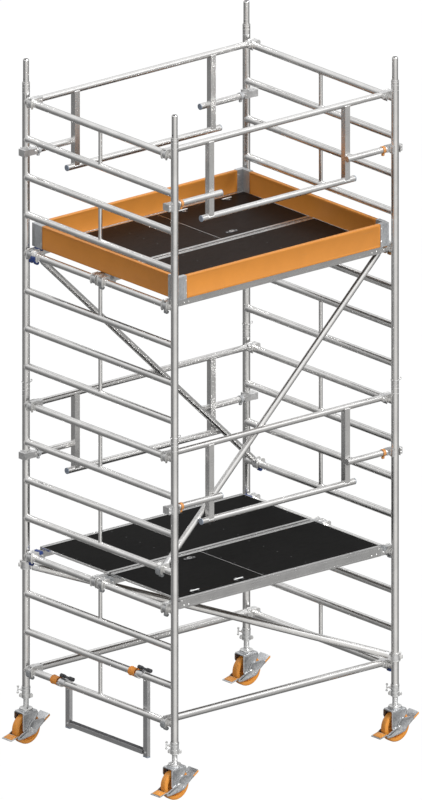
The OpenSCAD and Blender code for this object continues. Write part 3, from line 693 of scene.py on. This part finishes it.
bpy.data.objects.remove(rail_claw)

# ---- Guardrail collars -----------------------------------------------------
# Locking collars turned by a thumb lever, next to the post hooks. Orange
# coated at the front of the tower, bare metal at the back.


def painted(name, colour, gloss=0.36, grain=700, worn=(0.5, 0.5, 0.5), edge=0.66, index=1.42):
    """Coated or moulded: mottled colour, fine grain and rubbed patches."""
    material, finish, coat = new_paint(name, IOR=index)
    mottle = finish.noise(9, 5, rough=0.6)
    fine = finish.noise(grain, 2)
    rubbed = finish.ramp(finish.noise(34, 6, rough=0.75), edge, edge + 0.04)
    scratch = finish.ramp(finish.noise(120, 4, finish.stretched(0.05, 1, "X"), 0.7), 0.66, 0.72)
    colour = finish.blend(mottle, colour, tuple(0.82 * c for c in colour))
    colour = finish.blend(rubbed * 0.55, colour, worn)
    colour = finish.blend(scratch * 0.25, colour, tuple(0.55 * c for c in worn))
    coat(colour, gloss + fine * 0.10 + mottle * 0.12 + rubbed * 0.2, fine + mottle - scratch,
        0.0002, 0.35)
    return material


collar_paint, collar, collar_coat = new_paint("collar_coating")
collar_back = collar.part(1) > 0
collar_cloud = collar.noise(60, 4)
collar_coat(collar.blend(collar_back, collar.blend(collar_cloud, (0.62, 0.27, 0.07),
    (0.46, 0.19, 0.05)), (0.42, 0.43, 0.44)), 0.34 + collar_cloud * 0.2, collar_cloud)
collar_half, collar_in = 0.010, 0.074
hoop = ring(rail_r + 0.004, -collar_half, collar_half, 0.0037, 0.0008)
lever = plate([(-0.007, 0.0), (0.007, 0.0), (0.0085, 0.010), (0.006, 0.017), (-0.006, 0.017),
    (-0.0085, 0.010)], -0.008, 0.008, "Y", 0.0016)
lever.data.transform(at(0, 0, rail_r + 0.0022))
hoop.data.transform(along_x)
lever.data.transform(turned(180, "X") @ turned(90, "Z"))
collars = []
for number in rung_of_rail.values():
    for turn in (Matrix(), half_turn):
        for side in (-1, 1):
            collars.append(turn @ at(side * (post_x - collar_in),
                -stub_y - 0.0001, rung_z(number) - stub_drop))
fitted(spread(joined([hoop, lever]), collars), "guardrail_collars", "tower", "orange_metal",
    collar_paint, "guardrail_locks")

# ---- Decks -----------------------------------------------------------------
# Extruded side rails, riveted cross members and four bolted cast hooks each.
# The plywood is dark film-faced board with an anti-slip print, screwed down;
# its underside is brown film painted lighter to stand in for light falling on it.
deck_metal = tube_metal("extruded_deck_rail", "X", cast_from=0.824, tint=(0.80, 0.805, 0.81))
dress(deck_metal, "deck_lower_front", "deck_lower_rear", "deck_upper_front", "deck_upper_rear")
deck_in, deck_out, deck_end = 0.008, 0.68285, 0.82
deck_rung = {"lower": 4, "upper": 12}
deck_rise, deck_claw_w = 0.05, 0.048


def film_ply(name, top, dark, warm, index):
    material, finish, coat = new_paint(name, IOR=index)
    cloudy = finish.noise(3.2, 4, rough=0.6)
    scuffs = finish.noise(46, 5, finish.stretched(0.35, 1, "X"), 0.7)
    weave = [finish.node("ShaderNodeTexWave", {"bands_direction": axis},
        {"Vector": finish.place, "Scale": 62}) for axis in "XY"]
    print_grid = weave[0] * weave[1]
    worn = finish.ramp(scuffs, 0.62, 0.76)
    film = finish.blend(cloudy, dark, warm)
    film = finish.blend(worn * 0.35, film, tuple(2.5 * c + 0.012 for c in warm))
    face = abs(finish.part(2) - (top - 0.006)) > 0.0058
    plies = finish.node("ShaderNodeTexWave", {"bands_direction": "Z"},
        {"Vector": finish.place, "Scale": 190, "Distortion": 1.5})
    edge = finish.blend(plies, (0.025, 0.013, 0.008), (0.085, 0.045, 0.024))
    metal = finish.part(2) > top + 0.0001
    knuckle = finish.part(2) > top + 0.0031
    zinc_grey = finish.blend(knuckle, finish.blend(finish.noise(60, 3), (0.055, 0.056, 0.06),
        (0.10, 0.10, 0.105)), (0.74, 0.75, 0.75))
    # Painted light: the brown underside is painted far lighter than the face, standing in for
    # light falling on it, which the metal below reflects.
    under = finish.part(2) < top - 0.0117
    film = finish.blend(under, film, finish.blend(cloudy, (0.13, 0.105, 0.085),
        (0.19, 0.16, 0.135)))
    board = finish.blend(face, edge, film)
    coat(finish.blend(metal, board, zinc_grey), 0.30 + scuffs * 0.16 + worn * 0.2
        + print_grid * 0.1, (print_grid * 0.8 + scuffs * 0.3) * (1 - metal), metallic=metal * 0.85)
    return material


ply_paint = {
    "lower": film_ply("film_ply_lower", rung_z(4) + deck_rise, (0.0034, 0.0033, 0.0032),
        (0.0062, 0.0059, 0.0056), 1.07),
    "upper": film_ply("film_ply_upper", rung_z(12) + deck_rise, (0.0075, 0.0044, 0.0032),
        (0.014, 0.0074, 0.0048), 1.12)}
for level in deck_rung:
    dress(ply_paint[level], f"deck_{level}_front_panel", f"deck_{level}_rear_panel",
        f"hatch_{level}")

deck_claw = claw_fittings(deck_claw_w, 0.058, 0.006)
claw_y = (deck_out - deck_claw_w / 2, deck_in + deck_claw_w / 2)
for level, number in deck_rung.items():
    for end, turn in (("front", Matrix()), ("rear", half_turn)):
        z = rung_z(number)
        fixings = [copied(deck_claw, turn @ at_rung(side, -y, z)) for side in (-1, 1)
            for y in claw_y]
        for x in (-0.804, -0.785, -0.748, 0.748, 0.785, 0.804):
            for y, out_of in ((-deck_out, 1), (-deck_in, -1)):
                fixings.append(copied(rivet, turn @ at(x, y, z
                    + (0.034 if abs(x) > 0.79 else 0.002)) @ turned(90 * out_of, "X")))
        fitted(joined(fixings), f"deck_{level}_{end}_fixings", "tower", "aluminium_tube",
            cast_metal)
        lips = []
        for y in (-deck_out + 0.0045, -deck_in - 0.0045):
            lips.append(moved(plate([(y - 0.0045, 0), (y + 0.0045, 0), (y + 0.0038, 0.0026),
                (y - 0.0038, 0.0026)], -deck_end, deck_end, "X", 0.0006, steps=1),
                turn @ at(0, 0, z + deck_rise)))
        for y in (-deck_out, -deck_in):
            for up in (-0.006, 0.036):
                groove = plate([(-0.0008, -0.0035), (0.0008, -0.0025), (0.0008, 0.0025),
                    (-0.0008, 0.0035)], -deck_end + 0.001, deck_end - 0.001, "X")
                facing_out = Matrix() if y == -deck_in else half_turn
                lips.append(moved(groove, turn @ at(0, y, z + up) @ facing_out))
        for side in (-1, 1):
            trim = plate([(-deck_out + 0.001, deck_rise - 0.0140), (-deck_in - 0.001,
                deck_rise - 0.0140), (-deck_in - 0.001, deck_rise + 0.0020),
                (-deck_out + 0.001, deck_rise + 0.0020)], *sorted((side * (deck_end + 0.0003),
                side * (deck_end + 0.0028))), "X", 0.0008, steps=1)
            lips.append(moved(trim, turn @ at(0, 0, z)))
        fitted(joined(lips), f"deck_{level}_{end}_rail_lips", "tower", "aluminium_tube",
            deck_metal)
bpy.data.objects.remove(deck_claw)

# ---- Ply screws, hinges and hatch latches ----------------------------------
# Countersunk screws hold the board to the cross members. Two butt hinges hold
# the hatch, and an oval plate with a drop ring lifts it.
dark_screw = painted("blackened_screw", (0.05, 0.05, 0.052), 0.35, 900, (0.30, 0.30, 0.30))
screw = bar(0.0042, 0, 0.0005, ((0.0008, 0.0003), (0.0020, -0.0005)), 16, low_steps=())
hinge_y, hinge_x, latch_x, latch_y = 0.61185, (0.644, 0.284), -0.254, -0.0975
screw_y = (-0.62, -0.48, -0.345, -0.21, -0.07)
for level, number in deck_rung.items():
    top = rung_z(number) + deck_rise
    hatch_turn = Matrix() if level == "lower" else half_turn
    hatch_end = "front" if level == "lower" else "rear"
    plain_turn = half_turn if level == "lower" else Matrix()
    plain_end = "rear" if level == "lower" else "front"
    heads = [at(x, y, top) for x in (-0.803, -0.283, 0.287, 0.803)
        for y in screw_y]
    fitted(joined([copied(screw, plain_turn @ place) for place in heads]),
        f"deck_{level}_{plain_end}_screws", "tower", "galvanised_steel", dark_screw)
    heads = [at(x, y, top) for x in (-0.09, 0.257, 0.803)
        for y in screw_y]
    heads += [at(x, -0.643, top) for x in (-0.80, -0.45, -0.15)]
    for x in hinge_x:
        heads += [at(-x + dx, -hinge_y - 0.014, top + 0.0022)
            for dx in (-0.026, 0.026)]
    fitted(joined([copied(screw, hatch_turn @ place) for place in heads]),
        f"deck_{level}_{hatch_end}_screws", "tower", "galvanised_steel", dark_screw)
    seam_strip = plate([(-0.1147, -0.657), (-0.1112, -0.657), (-0.1112, -0.036),
        (-0.1147, -0.036)], top + 0.00005, top + 0.0012, "Z", 0.0004, steps=1)
    seam_strip.data.transform(hatch_turn)
    fitted(seam_strip, f"deck_{level}_{hatch_end}_hatch_strip", "tower", "aluminium_tube",
        deck_metal)
    leaf_screws = [copied(screw, at(-x + dx, -hinge_y + dy, top + 0.0022))
        for x in hinge_x for dx, dy in ((-0.009, 0.014), (0.009, 0.014), (0.0, 0.025))]
    leaf_screws += [copied(screw, at(latch_x + dx, latch_y, top + 0.0026))
        for dx in (-0.037, 0.037)]
    begin_hoop(0.013, 0.0017, 32, 8)
    reshape(lambda point: Vector((point.x * 1.3, point.y, point.z)))
    drop_ring = close()
    drop_ring.data.transform(at(latch_x, latch_y, top + 0.0043))
    keeper = plate([(-0.006, 0.0), (0.006, 0.0), (0.0045, 0.0045), (-0.0045, 0.0045)], -0.004,
        0.004, "Y", 0.0008)
    keeper.data.transform(at(latch_x, latch_y + 0.0125, top + 0.0024))
    latch = joined(leaf_screws + [drop_ring, keeper])
    latch.data.transform(hatch_turn)
    fitted(latch, f"hatch_{level}_latch", f"hatch_{level}", "galvanised_steel", bright_zinc)
dress(bright_zinc, "hatch_pins")
wind_locks = [at_rung(side, y, rung_z(number)) for number in deck_rung.values()
    for side in (-1, 1) for y in (-claw_y[0], -claw_y[1], claw_y[0])]
thumb = plate([(-0.060, 0.017), (-0.062, 0.030), (-0.054, 0.039), (-0.036, 0.039),
    (-0.029, 0.030), (-0.034, 0.016)], -deck_claw_w / 2 - 0.0045, deck_claw_w / 2 + 0.0045, "Y",
    0.0022, (0.005, 0.0015, -0.0012))
fitted(spread(joined([lock_model(0.022), thumb]), wind_locks), "wind_lock_tongues", "tower",
    "lock_plastic", nylon, "wind_locks")

# ---- Toe boards ------------------------------------------------------------
# Orange coated boards on edge round the upper level, edges rounded, dropped
# into ribbed galvanised corner sockets and held there by two screws each.
toe_low, toe_high = rung_z(12) + 0.038, rung_z(12) + 0.188


def begin_block(middle, size):
    """A block of this size round its middle, open for shaping."""
    begin(bpy.ops.mesh.primitive_cube_add, size=1, location=middle, scale=size)
    bpy.ops.object.mode_set(mode="OBJECT")
    bpy.ops.object.transform_apply(location=True, rotation=True, scale=True)
    bpy.ops.object.mode_set(mode="EDIT")


board_paint = painted("orange_board_coating", (0.60, 0.232, 0.038), 0.34, 500,
    (0.45, 0.30, 0.16), 0.70)
toe_side = (-0.792, -0.71185, 0.792, -0.68485)
toe_end = (-0.860, -0.61685, -0.833, 0.61685)
for name, (x0, y0, x1, y1), turn in (("front", toe_side, Matrix()), ("rear", toe_side, half_turn),
        ("left", toe_end, Matrix()), ("right", toe_end, half_turn)):
    begin_block(((x0 + x1) / 2, (y0 + y1) / 2, (toe_low + toe_high) / 2),
        (x1 - x0, y1 - y0, toe_high - toe_low))
    broad = 1 if x1 - x0 > y1 - y0 else 0
    for end in (-1, 1):
        pick(lambda centre, normal: normal[broad] * end > 0.99)
        bpy.ops.mesh.inset(thickness=0.011, depth=0)
        bpy.ops.mesh.inset(thickness=0.0012, depth=-0.0008)
    board = close(0.0022, 3)
    board.data.transform(turn)
    fitted(board, f"toeboard_{name}_board", "tower", "orange_board", board_paint,
        f"toeboard_{name}")
socket_zinc = zinc("galvanised_socket", (0.44, 0.46, 0.48), (0.66, 0.67, 0.68), 0.34)
dress(socket_zinc, "toeboard_brackets")
corner_screws = []
for turn in (Matrix(), half_turn):
    for mirror in (1, -1):
        for z in (toe_low + 0.035, toe_high - 0.030):
            face = at(-0.797, mirror * -0.71485, z) @ turned(90 * mirror, "X")
            corner_screws.append(turn @ face)
            corner_screws.append(turn @ at(-0.8632, mirror * -0.622, z)
                @ turned(-90, "Y"))
            corner_screws.append(turn @ at(-0.800, mirror * -0.6848, z)
                @ turned(-90 * mirror, "X"))
fitted(joined([copied(rivet, place) for place in corner_screws]), "toeboard_screws", "tower",
    "bracket_aluminium", bright_zinc)

# ---- Access bracket --------------------------------------------------------
# Two rectangular legs hung from the left frame with a cross bar as a step,
# orange clamps round the rungs and black toggle bolts over the legs.
bracket_metal = tube_metal("bracket_tube", "Z", tint=(0.84, 0.85, 0.87), gloss=0.22)
dress(bracket_metal, "step_bracket")
clamp_paint = painted("orange_clamp_coating", (0.74, 0.28, 0.045), 0.34)
leg_y, leg_rung, leg_foot = (0.349, -0.410), (1, 2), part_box("step_bracket")[0][2]
clamp_r, clamp_wide, clamp_in = 0.0285, 0.062, 0.048
arms, inner_r = range(-78, 259, 12), 0.0226
shell = arc(clamp_r, arms) + arc(inner_r, reversed(arms))
clamp_body = plate(shell, -clamp_wide / 2 + 0.006, clamp_wide / 2 - 0.006, "Y", 0.0012)
swell_ribs = [(1.07 * a, 1.07 * b) if i < len(arms) else (a * 1.2, b * 1.2)
    for i, (a, b) in enumerate(shell)]
clamp_ribs = [plate(swell_ribs, y - 0.004, y + 0.004, "Y", 0.0015)
    for y in (-0.0255, 0.0255)]
ear = plate([(clamp_r - 0.004, -0.012), (clamp_r + 0.006, -0.012), (clamp_r + 0.008, -0.006),
    (clamp_r + 0.008, 0.006), (clamp_r + 0.006, 0.012), (clamp_r - 0.004, 0.012)], -0.016, 0.016,
    "Y", 0.002)
ear_bolt = copied(bolt, at(clamp_r + 0.001, 0, 0.0118))
clamp = joined([clamp_body, ear, ear_bolt] + clamp_ribs)
clamp_places = [at(-post_x, y + clamp_in + clamp_wide / 2, rung_z(number))
    for y, number in zip(leg_y, leg_rung)]
fitted(spread(clamp, clamp_places), "access_bracket_clamps", "tower", "orange_metal",
    clamp_paint, "step_bracket_clamps")

knob_paint = painted("black_knob_nylon", (0.045, 0.046, 0.05), 0.30, 900, (0.22, 0.22, 0.22), 0.6)
shaft = bar(0.0078, 0.0, 0.120, ((0.001, 0.001),), 24)
grip = bar(0.014, 0.0, 0.030, ((0.002, 0.0015), (0.004, 0.0008)), 12, 0.0008)
far_grip = bar(0.014, 0.084, 0.120, ((0.002, 0.0012), (0.004, 0.0006)), 12, 0.0008)
for part in (grip, far_grip):
    for point in part.data.vertices:
        turn_at = math.atan2(point.co.y, point.co.x)
        pinch = 1 - 0.10 * (0.5 + 0.5 * math.cos(6 * turn_at))
        point.co.x, point.co.y = point.co.x * pinch, point.co.y * pinch
collar_ring = ring(0.0105, 0.036, 0.042, 0.0026, 0.0006)
knob = joined([shaft, grip, far_grip, collar_ring])
knob_places = [at(-post_x, y + 0.034, rung_z(number) + 0.045)
    @ along_y for y, number in zip(leg_y, leg_rung)]
fitted(spread(knob, knob_places), "access_bracket_knobs", "tower", "knob_plastic", knob_paint,
    "step_bracket_knobs")

shoes = []
for y in leg_y:
    begin_block((-0.86425, y, leg_foot + 0.004), (0.0268, 0.0418, 0.0082))
    pick(lambda centre, normal: normal.z < -0.99)
    bpy.ops.mesh.inset(thickness=0.004, depth=0)
    bpy.ops.mesh.inset(thickness=0.0006, depth=-0.0015)
    shoes.append(close(0.0012))
fitted(joined(shoes), "access_bracket_feet", "tower", "knob_plastic", cap_plastic)
leg_bolts = [copied(bolt, at(-0.87675, y, z) @ turned(-90, "Y"))
    for y, number in zip(leg_y, leg_rung)
    for z in (leg_foot + 0.032, rung_z(number) - 0.045)]
fitted(joined(leg_bolts), "access_bracket_bolts", "tower", "galvanised_steel", bright_zinc)
under, saddle_r = range(176, 365, 9), 0.0305
saddle = arc(saddle_r, under) + arc(inner_r, reversed(under))
saddles = []
for y, number in zip(leg_y, leg_rung):
    part = plate(saddle, y + 0.0205, y + clamp_in - 0.001, "Y", 0.0012)
    saddles.append(moved(part, at(-post_x, 0, rung_z(number))))
fitted(joined(saddles), "access_bracket_saddles", "tower", "aluminium_tube", cast_metal)
grit_rubber = painted("anti_slip_rubber", (0.085, 0.085, 0.09), 0.55, 600, (0.16, 0.16, 0.16))
bar_top = leg_foot + 0.046
strip = [plate([(-0.8810, bar_top), (-0.8475, bar_top), (-0.8480, bar_top + 0.0012),
    (-0.8805, bar_top + 0.0012)], leg_y[1] + 0.022, leg_y[0] - 0.022, "Y", 0.0004, steps=1)]
for i in range(6):
    x = -0.8785 + 0.0056 * i
    strip.append(plate([(x, bar_top + 0.001), (x + 0.0028, bar_top + 0.001),
        (x + 0.0022, bar_top + 0.0022), (x + 0.0006, bar_top + 0.0022)], leg_y[1] + 0.024,
        leg_y[0] - 0.024, "Y"))
fitted(joined(strip), "access_bracket_tread", "tower", "knob_plastic", grit_rubber)

# ---- Castor wheels ---------------------------------------------------------
# Cast polyamide with a ribbed web and a steel bearing sleeve, 200 mm across.
# One is modelled on the tower's centre line and copied under each post.
wheel_r, spoke_count = 0.1, 8
corners = {"fl": (-post_x, -post_y), "fr": (post_x, -post_y), "rl": (-post_x, post_y),
    "rr": (post_x, post_y)}
wheel_paint = painted("wheel_polyamide", (0.72, 0.285, 0.045), 0.26, 900, (0.30, 0.16, 0.07), 0.68)
tread = bar(wheel_r, -0.016, 0.016, ((0.0012, 0.003), (0.0028, 0.003), (0.004, 0.002),
    (0.016, 0.0005), (0.003, -0.004), (0.004, -0.010), (0.038, -0.001), (0.003, 0.019),
    (0.002, 0.009), (0.009, 0.001), (0.002, -0.003)), 96)
tread.data.transform(along_y)
spoke = plate([(0.026, -0.003), (0.076, -0.002), (0.076, 0.002), (0.026, 0.003)], -0.0185, 0.0185,
    "Y", 0.0012)
spokes = spread(spoke, [turned(360 / spoke_count * i, "Y")
    for i in range(spoke_count)])
wheel = joined([tread, spokes])
sleeve = bar(0.0125, -0.0398, 0.0398, ((0.0008, 0.0002), (0.0022, -0.001)), 32)
sleeve.data.transform(along_y)


def under_posts(model, name, body, material, *stands_for, slot="galvanised_steel", height=0.0):
    """A copy of the model under every post; each * in a name is its corner."""
    for corner, (x, y) in corners.items():
        fitted(copied(model, at(x, y, height)), name.replace("*", corner),
            body.replace("*", corner), slot, material,
            *(node.replace("*", corner) for node in stands_for))
    bpy.data.objects.remove(model)


under_posts(wheel, "wheel_*_tyre", "wheel_*", wheel_paint, "wheel_*", slot="wheel_plastic",
    height=wheel_r)
under_posts(sleeve, "wheel_*_sleeve", "wheel_*", bright_zinc, height=wheel_r)

# ---- Castor forks and axles ------------------------------------------------
# Pressed from steel plate: a bridge with the lower bearing race and two
# embossed legs. A bolt with washers and a locking nut carries the wheel.
fork_half, fork_top, leg_t = 0.045, 0.218, 0.005
leg_shape = [(-0.060, 0.2105), (-0.060, 0.172), (-0.046, 0.146), (-0.026, 0.108), (-0.024, 0.096),
    (-0.018, 0.083), (-0.009, 0.077), (0.0, 0.0755), (0.009, 0.077), (0.018, 0.083),
    (0.024, 0.096), (0.026, 0.108), (0.046, 0.146), (0.060, 0.172), (0.060, 0.2105)]
cheek_shape = [(-0.0605, 0.2105), (-0.0620, 0.150), (-0.0620, 0.102), (-0.050, 0.087),
    (-0.024, 0.080), (-0.009, 0.0765), (0.0, 0.0755), (0.009, 0.077), (0.018, 0.083),
    (0.024, 0.096), (0.024, 0.120), (0.036, 0.154), (0.060, 0.188), (0.060, 0.2105)]
legs = [plate(outline, low, high, "Y", 0.0012, (0.009, 0.0025, -0.0011))
    for outline, low, high in ((cheek_shape, -fork_half, leg_t - fork_half),
        (leg_shape, fork_half - leg_t, fork_half))]
bridge = plate([(-0.060, -0.038), (-0.053, -0.045), (0.053, -0.045), (0.060, -0.038),
    (0.060, 0.038), (0.053, 0.045), (-0.053, 0.045), (-0.060, 0.038)], fork_top - 0.010,
    fork_top, "Z", 0.003, steps=3)
hood = [plate([(0.0555, 0.2095), (0.060, 0.2095), (0.060, 0.182), (0.0555, 0.182)], -0.0402,
    0.0402, "Y", 0.001)]
cup = bar(0.046, fork_top - 0.001, 0.2225, ((0.001, 0.0012), (0.0028, 0.002), (0.003, -0.0005)),
    56, low_steps=())
fork = joined(legs + [bridge, cup] + hood)
stem = bar(0.008, -0.050, 0.050, (), 28)
head_shape = bar(0.014, 0.0502, 0.0560, ((0.0012, -0.0006), (0.003, -0.0002)), 6, low_steps=())
nut_shape = copied(head_shape, turned(180, "X"))
washers = [bar(0.0165, z, z + 0.0010, ((0.0005, 0.0001),), 32) for z in (0.0496, -0.0506)]
axle = joined([stem, head_shape, nut_shape] + washers)
axle.data.transform(at(0, 0, wheel_r) @ along_y)
under_posts(fork, "fork_*_pressing", "fork_*", galvanised, "fork_*")
under_posts(axle, "axle_*_bolt", "fork_*", bright_zinc, "axle_*")

# ---- Brake rockers ---------------------------------------------------------
# Two steel side plates rock on the axle, tied by a pedal at each end: the low
# one is orange, the high one steel with an orange tip. Pedals are ribbed.
lever_y = 0.0456
rocker_shape = [(-0.106, 0.056), (-0.0985, 0.072), (-0.069, 0.089), (-0.036, 0.1005),
    (-0.022, 0.108), (-0.014, 0.127), (-0.004, 0.146), (0.012, 0.1585), (0.060, 0.1585),
    (0.104, 0.1535), (0.117, 0.137), (0.088, 0.114), (0.066, 0.0975), (0.054, 0.080),
    (0.040, 0.068), (0.006, 0.0600), (-0.060, 0.0500), (-0.098, 0.0490)]
sides = [plate(rocker_shape, *sorted((end * lever_y, end * (lever_y + 0.004))), "Y", 0.0010,
    (0.010, 0.0022, -0.0010)) for end in (-1, 1)]
tie = [bar(0.006, -lever_y, lever_y, (), 20) for _ in range(2)]
for part, (x, z) in zip(tie, ((-0.094, 0.061), (0.096, 0.138))):
    part.data.transform(at(x, 0, z) @ along_y)
tray = plate([(-0.1600, 0.0520), (-0.1590, 0.0565), (-0.1000, 0.0725), (-0.0975, 0.0680),
    (-0.1590, 0.0515)], -0.0455, 0.0455, "Y", 0.0008)
high_sheet = plate([(0.1010, 0.1365), (0.1540, 0.1736), (0.1554, 0.1716), (0.1024, 0.1345)],
    -0.0455, 0.0455, "Y", 0.0006)
spot = copied(rivet, at(0.030, -lever_y - 0.0039, 0.082)
    @ turned(90, "X"))
rocker = joined(sides + tie + [tray, high_sheet, spot])
pedal_paint = painted("pedal_polyamide", (0.72, 0.30, 0.05), 0.24, 900, (0.70, 0.50, 0.28), 0.60)
low_pad = plate([(-0.1515, 0.0590), (-0.1500, 0.0622), (-0.1070, 0.0742), (-0.1055, 0.0712)],
    -0.0385, 0.0385, "Y", 0.0014)
low_treads = [plate([(x, z - 0.002), (x + 0.0042, z - 0.001), (x + 0.0038, z + 0.0014),
    (x + 0.0004, z + 0.0004)], -0.034, 0.034, "Y", 0.0005, steps=1)
    for x, z in ((-0.1470, 0.0635), (-0.1385, 0.0659), (-0.1300, 0.0683), (-0.1215, 0.0707),
        (-0.1130, 0.0731))]
high_pad = plate([(0.1030, 0.1340), (0.1555, 0.1708), (0.1600, 0.1640), (0.1590, 0.1580),
    (0.1140, 0.1260), (0.1085, 0.1270)], -0.0450, 0.0450, "Y", 0.0016)
pedals = joined([low_pad, high_pad] + low_treads)
under_posts(rocker, "brake_*_rocker", "brake_lever_*", galvanised, "brake_lever_*")
under_posts(pedals, "brake_*_pedals", "brake_lever_*", pedal_paint, slot="wheel_plastic")

# ---- Spindles --------------------------------------------------------------
# A steel rod with a round 8 mm thread, its upper bearing race and the kingpin
# that turns in the fork. It runs up inside the post.
spindle_r, race_z, spindle_top, pitch = 0.0175, 0.2263, 0.760, 0.008
begin(bpy.ops.mesh.primitive_plane_add, size=0.01)
pick(lambda centre, normal: True)
bpy.ops.mesh.delete(type="ONLY_FACE")
pick(lambda centre, normal: centre.y < -0.004, "EDGE")
bpy.ops.mesh.delete(type="EDGE")
shape = bmesh.from_edit_mesh(bpy.context.object.data)
tooth = [(spindle_r - 0.0016, 0.0), (spindle_r, 0.0022), (spindle_r, 0.0048),
    (spindle_r - 0.0016, pitch * 0.9)]
for point, (x, z) in zip(sorted(shape.verts, key=lambda v: (v.co.x > 0) * 10
        + (v.co.y if v.co.x < 0 else -v.co.y) * 100), tooth):
    point.co = (x, 0, z)
bmesh.update_edit_mesh(bpy.context.object.data)
bpy.ops.object.mode_set(mode="OBJECT")
rod = bpy.context.object
twist = rod.modifiers.new("thread", "SCREW")
turns = int((spindle_top - race_z - 0.012) / pitch)
twist.screw_offset, twist.iterations = pitch, turns
twist.steps = twist.render_steps = 20
twist.use_merge_vertices = True
bpy.ops.object.modifier_apply(modifier="thread")
bpy.ops.object.mode_set(mode="EDIT")
bpy.ops.mesh.select_all(action="SELECT")
bpy.ops.mesh.remove_doubles(threshold=0.00001)
bpy.ops.mesh.normals_make_consistent(inside=False)
thread = close(crease=50)
thread.data.transform(at(0, 0, race_z + 0.0103))
core = bar(spindle_r - 0.0013, race_z + 0.009, spindle_top - 0.0015, ((0.003, 0.0015),), 32,
    low_steps=())
race = bar(0.0415, race_z + 0.0003, race_z + 0.0075, ((0.0012, 0.0012), (0.003, 0.0012),
    (0.016, 0.0), (0.001, 0.002), (0.001, 0.0006)), 56, low_steps=((0.002, 0.0),))
kingpin = bar(0.010, fork_top - 0.014, race_z + 0.001, (), 28)
kingpin_nut = bar(0.016, fork_top - 0.014, fork_top - 0.0104, ((0.001, 0.0),), 6)
spindle = joined([thread, core, race, kingpin, kingpin_nut])
under_posts(spindle, "spindle_*_thread", "spindle_*", bright_zinc, "spindle_*")

# ---- Winged nuts -----------------------------------------------------------
# Cast steel nuts under the posts: two wings to turn them by, a collar that
# holds the post and a clamp screw with a toggle bar.
nut_low, nut_top, nut_r, sleeve_r = foot_z - 0.0663, foot_z - 0.0003, 0.027, 0.0256
screw_z = nut_top - 0.012
bored = sleeve_r - spindle_r - 0.0001
body = [ring(nut_r, nut_low, nut_low + 0.030, bored + 0.0014, 0.0020),
    ring(sleeve_r, nut_low + 0.002, nut_top - 0.001, bored, 0.0012),
    ring(nut_r + 0.0008, nut_top - 0.003, nut_top + 0.011, 0.0033, 0.0008),
    ring(nut_r + 0.0014, nut_low + 0.0005, nut_low + 0.006, 0.006, 0.0012)]
wing_rise = (0.0040, 0.0020, 0.0030, 0.0080, 0.0190, 0.0270, 0.0310, 0.0310)
wing_out = (sleeve_r - 0.002, 0.033, 0.039, 0.0435, 0.0435, 0.0395, 0.0335, sleeve_r - 0.002)
wings = [plate([(a, nut_low + b) for a, b in zip(wing_out, wing_rise)], -0.004, 0.004, "Y",
    0.0024, steps=3) for _ in range(2)]
wing_turns, toggle_tilt, toggle_turn = (-45, 135), 28, 135
for part, turn in zip(wings, wing_turns):
    part.data.transform(turned(turn, "Z"))
ribs = [plate([(0.0248, nut_low + 0.032), (0.0268, nut_low + 0.034), (0.0268, nut_top - 0.008),
    (0.0248, nut_top - 0.006)], -0.0018, 0.0018, "Y", 0.0006, steps=1) for _ in range(6)]
for i, part in enumerate(ribs):
    part.data.transform(turned(15 + 60 * i, "Z"))
clamp_screw = bar(0.0050, sleeve_r - 0.001, sleeve_r + 0.026, ((0.0006, 0.0004),), 20)
clamp_screw.data.transform(along_x)
boss = bar(0.0095, sleeve_r - 0.002, sleeve_r + 0.008, ((0.001, 0.001),), 6, 0.0004)
boss.data.transform(along_x)
toggle = bar(0.0044, -0.0200, 0.0200, (), 16)
balls = []
for end in (-1, 1):
    begin(bpy.ops.mesh.primitive_uv_sphere_add, segments=20, ring_count=12, radius=0.0074)
    reshape(lambda point: Vector((point.x, point.y, 0.92 * point.z)))
    balls.append(moved(close(), at(0, 0, end * 0.0195)))
toggle = joined([toggle] + balls)
toggle.data.transform(at(sleeve_r + 0.026, 0, 0)
    @ turned(toggle_tilt, "X"))
screw_set = joined([clamp_screw, boss, toggle])
screw_set.data.transform(at(0, 0, screw_z)
    @ turned(toggle_turn, "Z"))
winged_nut = joined(body + [screw_set] + wings + ribs)
nut_zinc = zinc("cast_nut_zinc", (0.50, 0.505, 0.51), (0.82, 0.82, 0.81), 0.2)
under_posts(winged_nut, "nut_*_winged", "nut_*", nut_zinc, "nut_*")
for model in (rivet, bolt, screw):
    bpy.data.objects.remove(model)
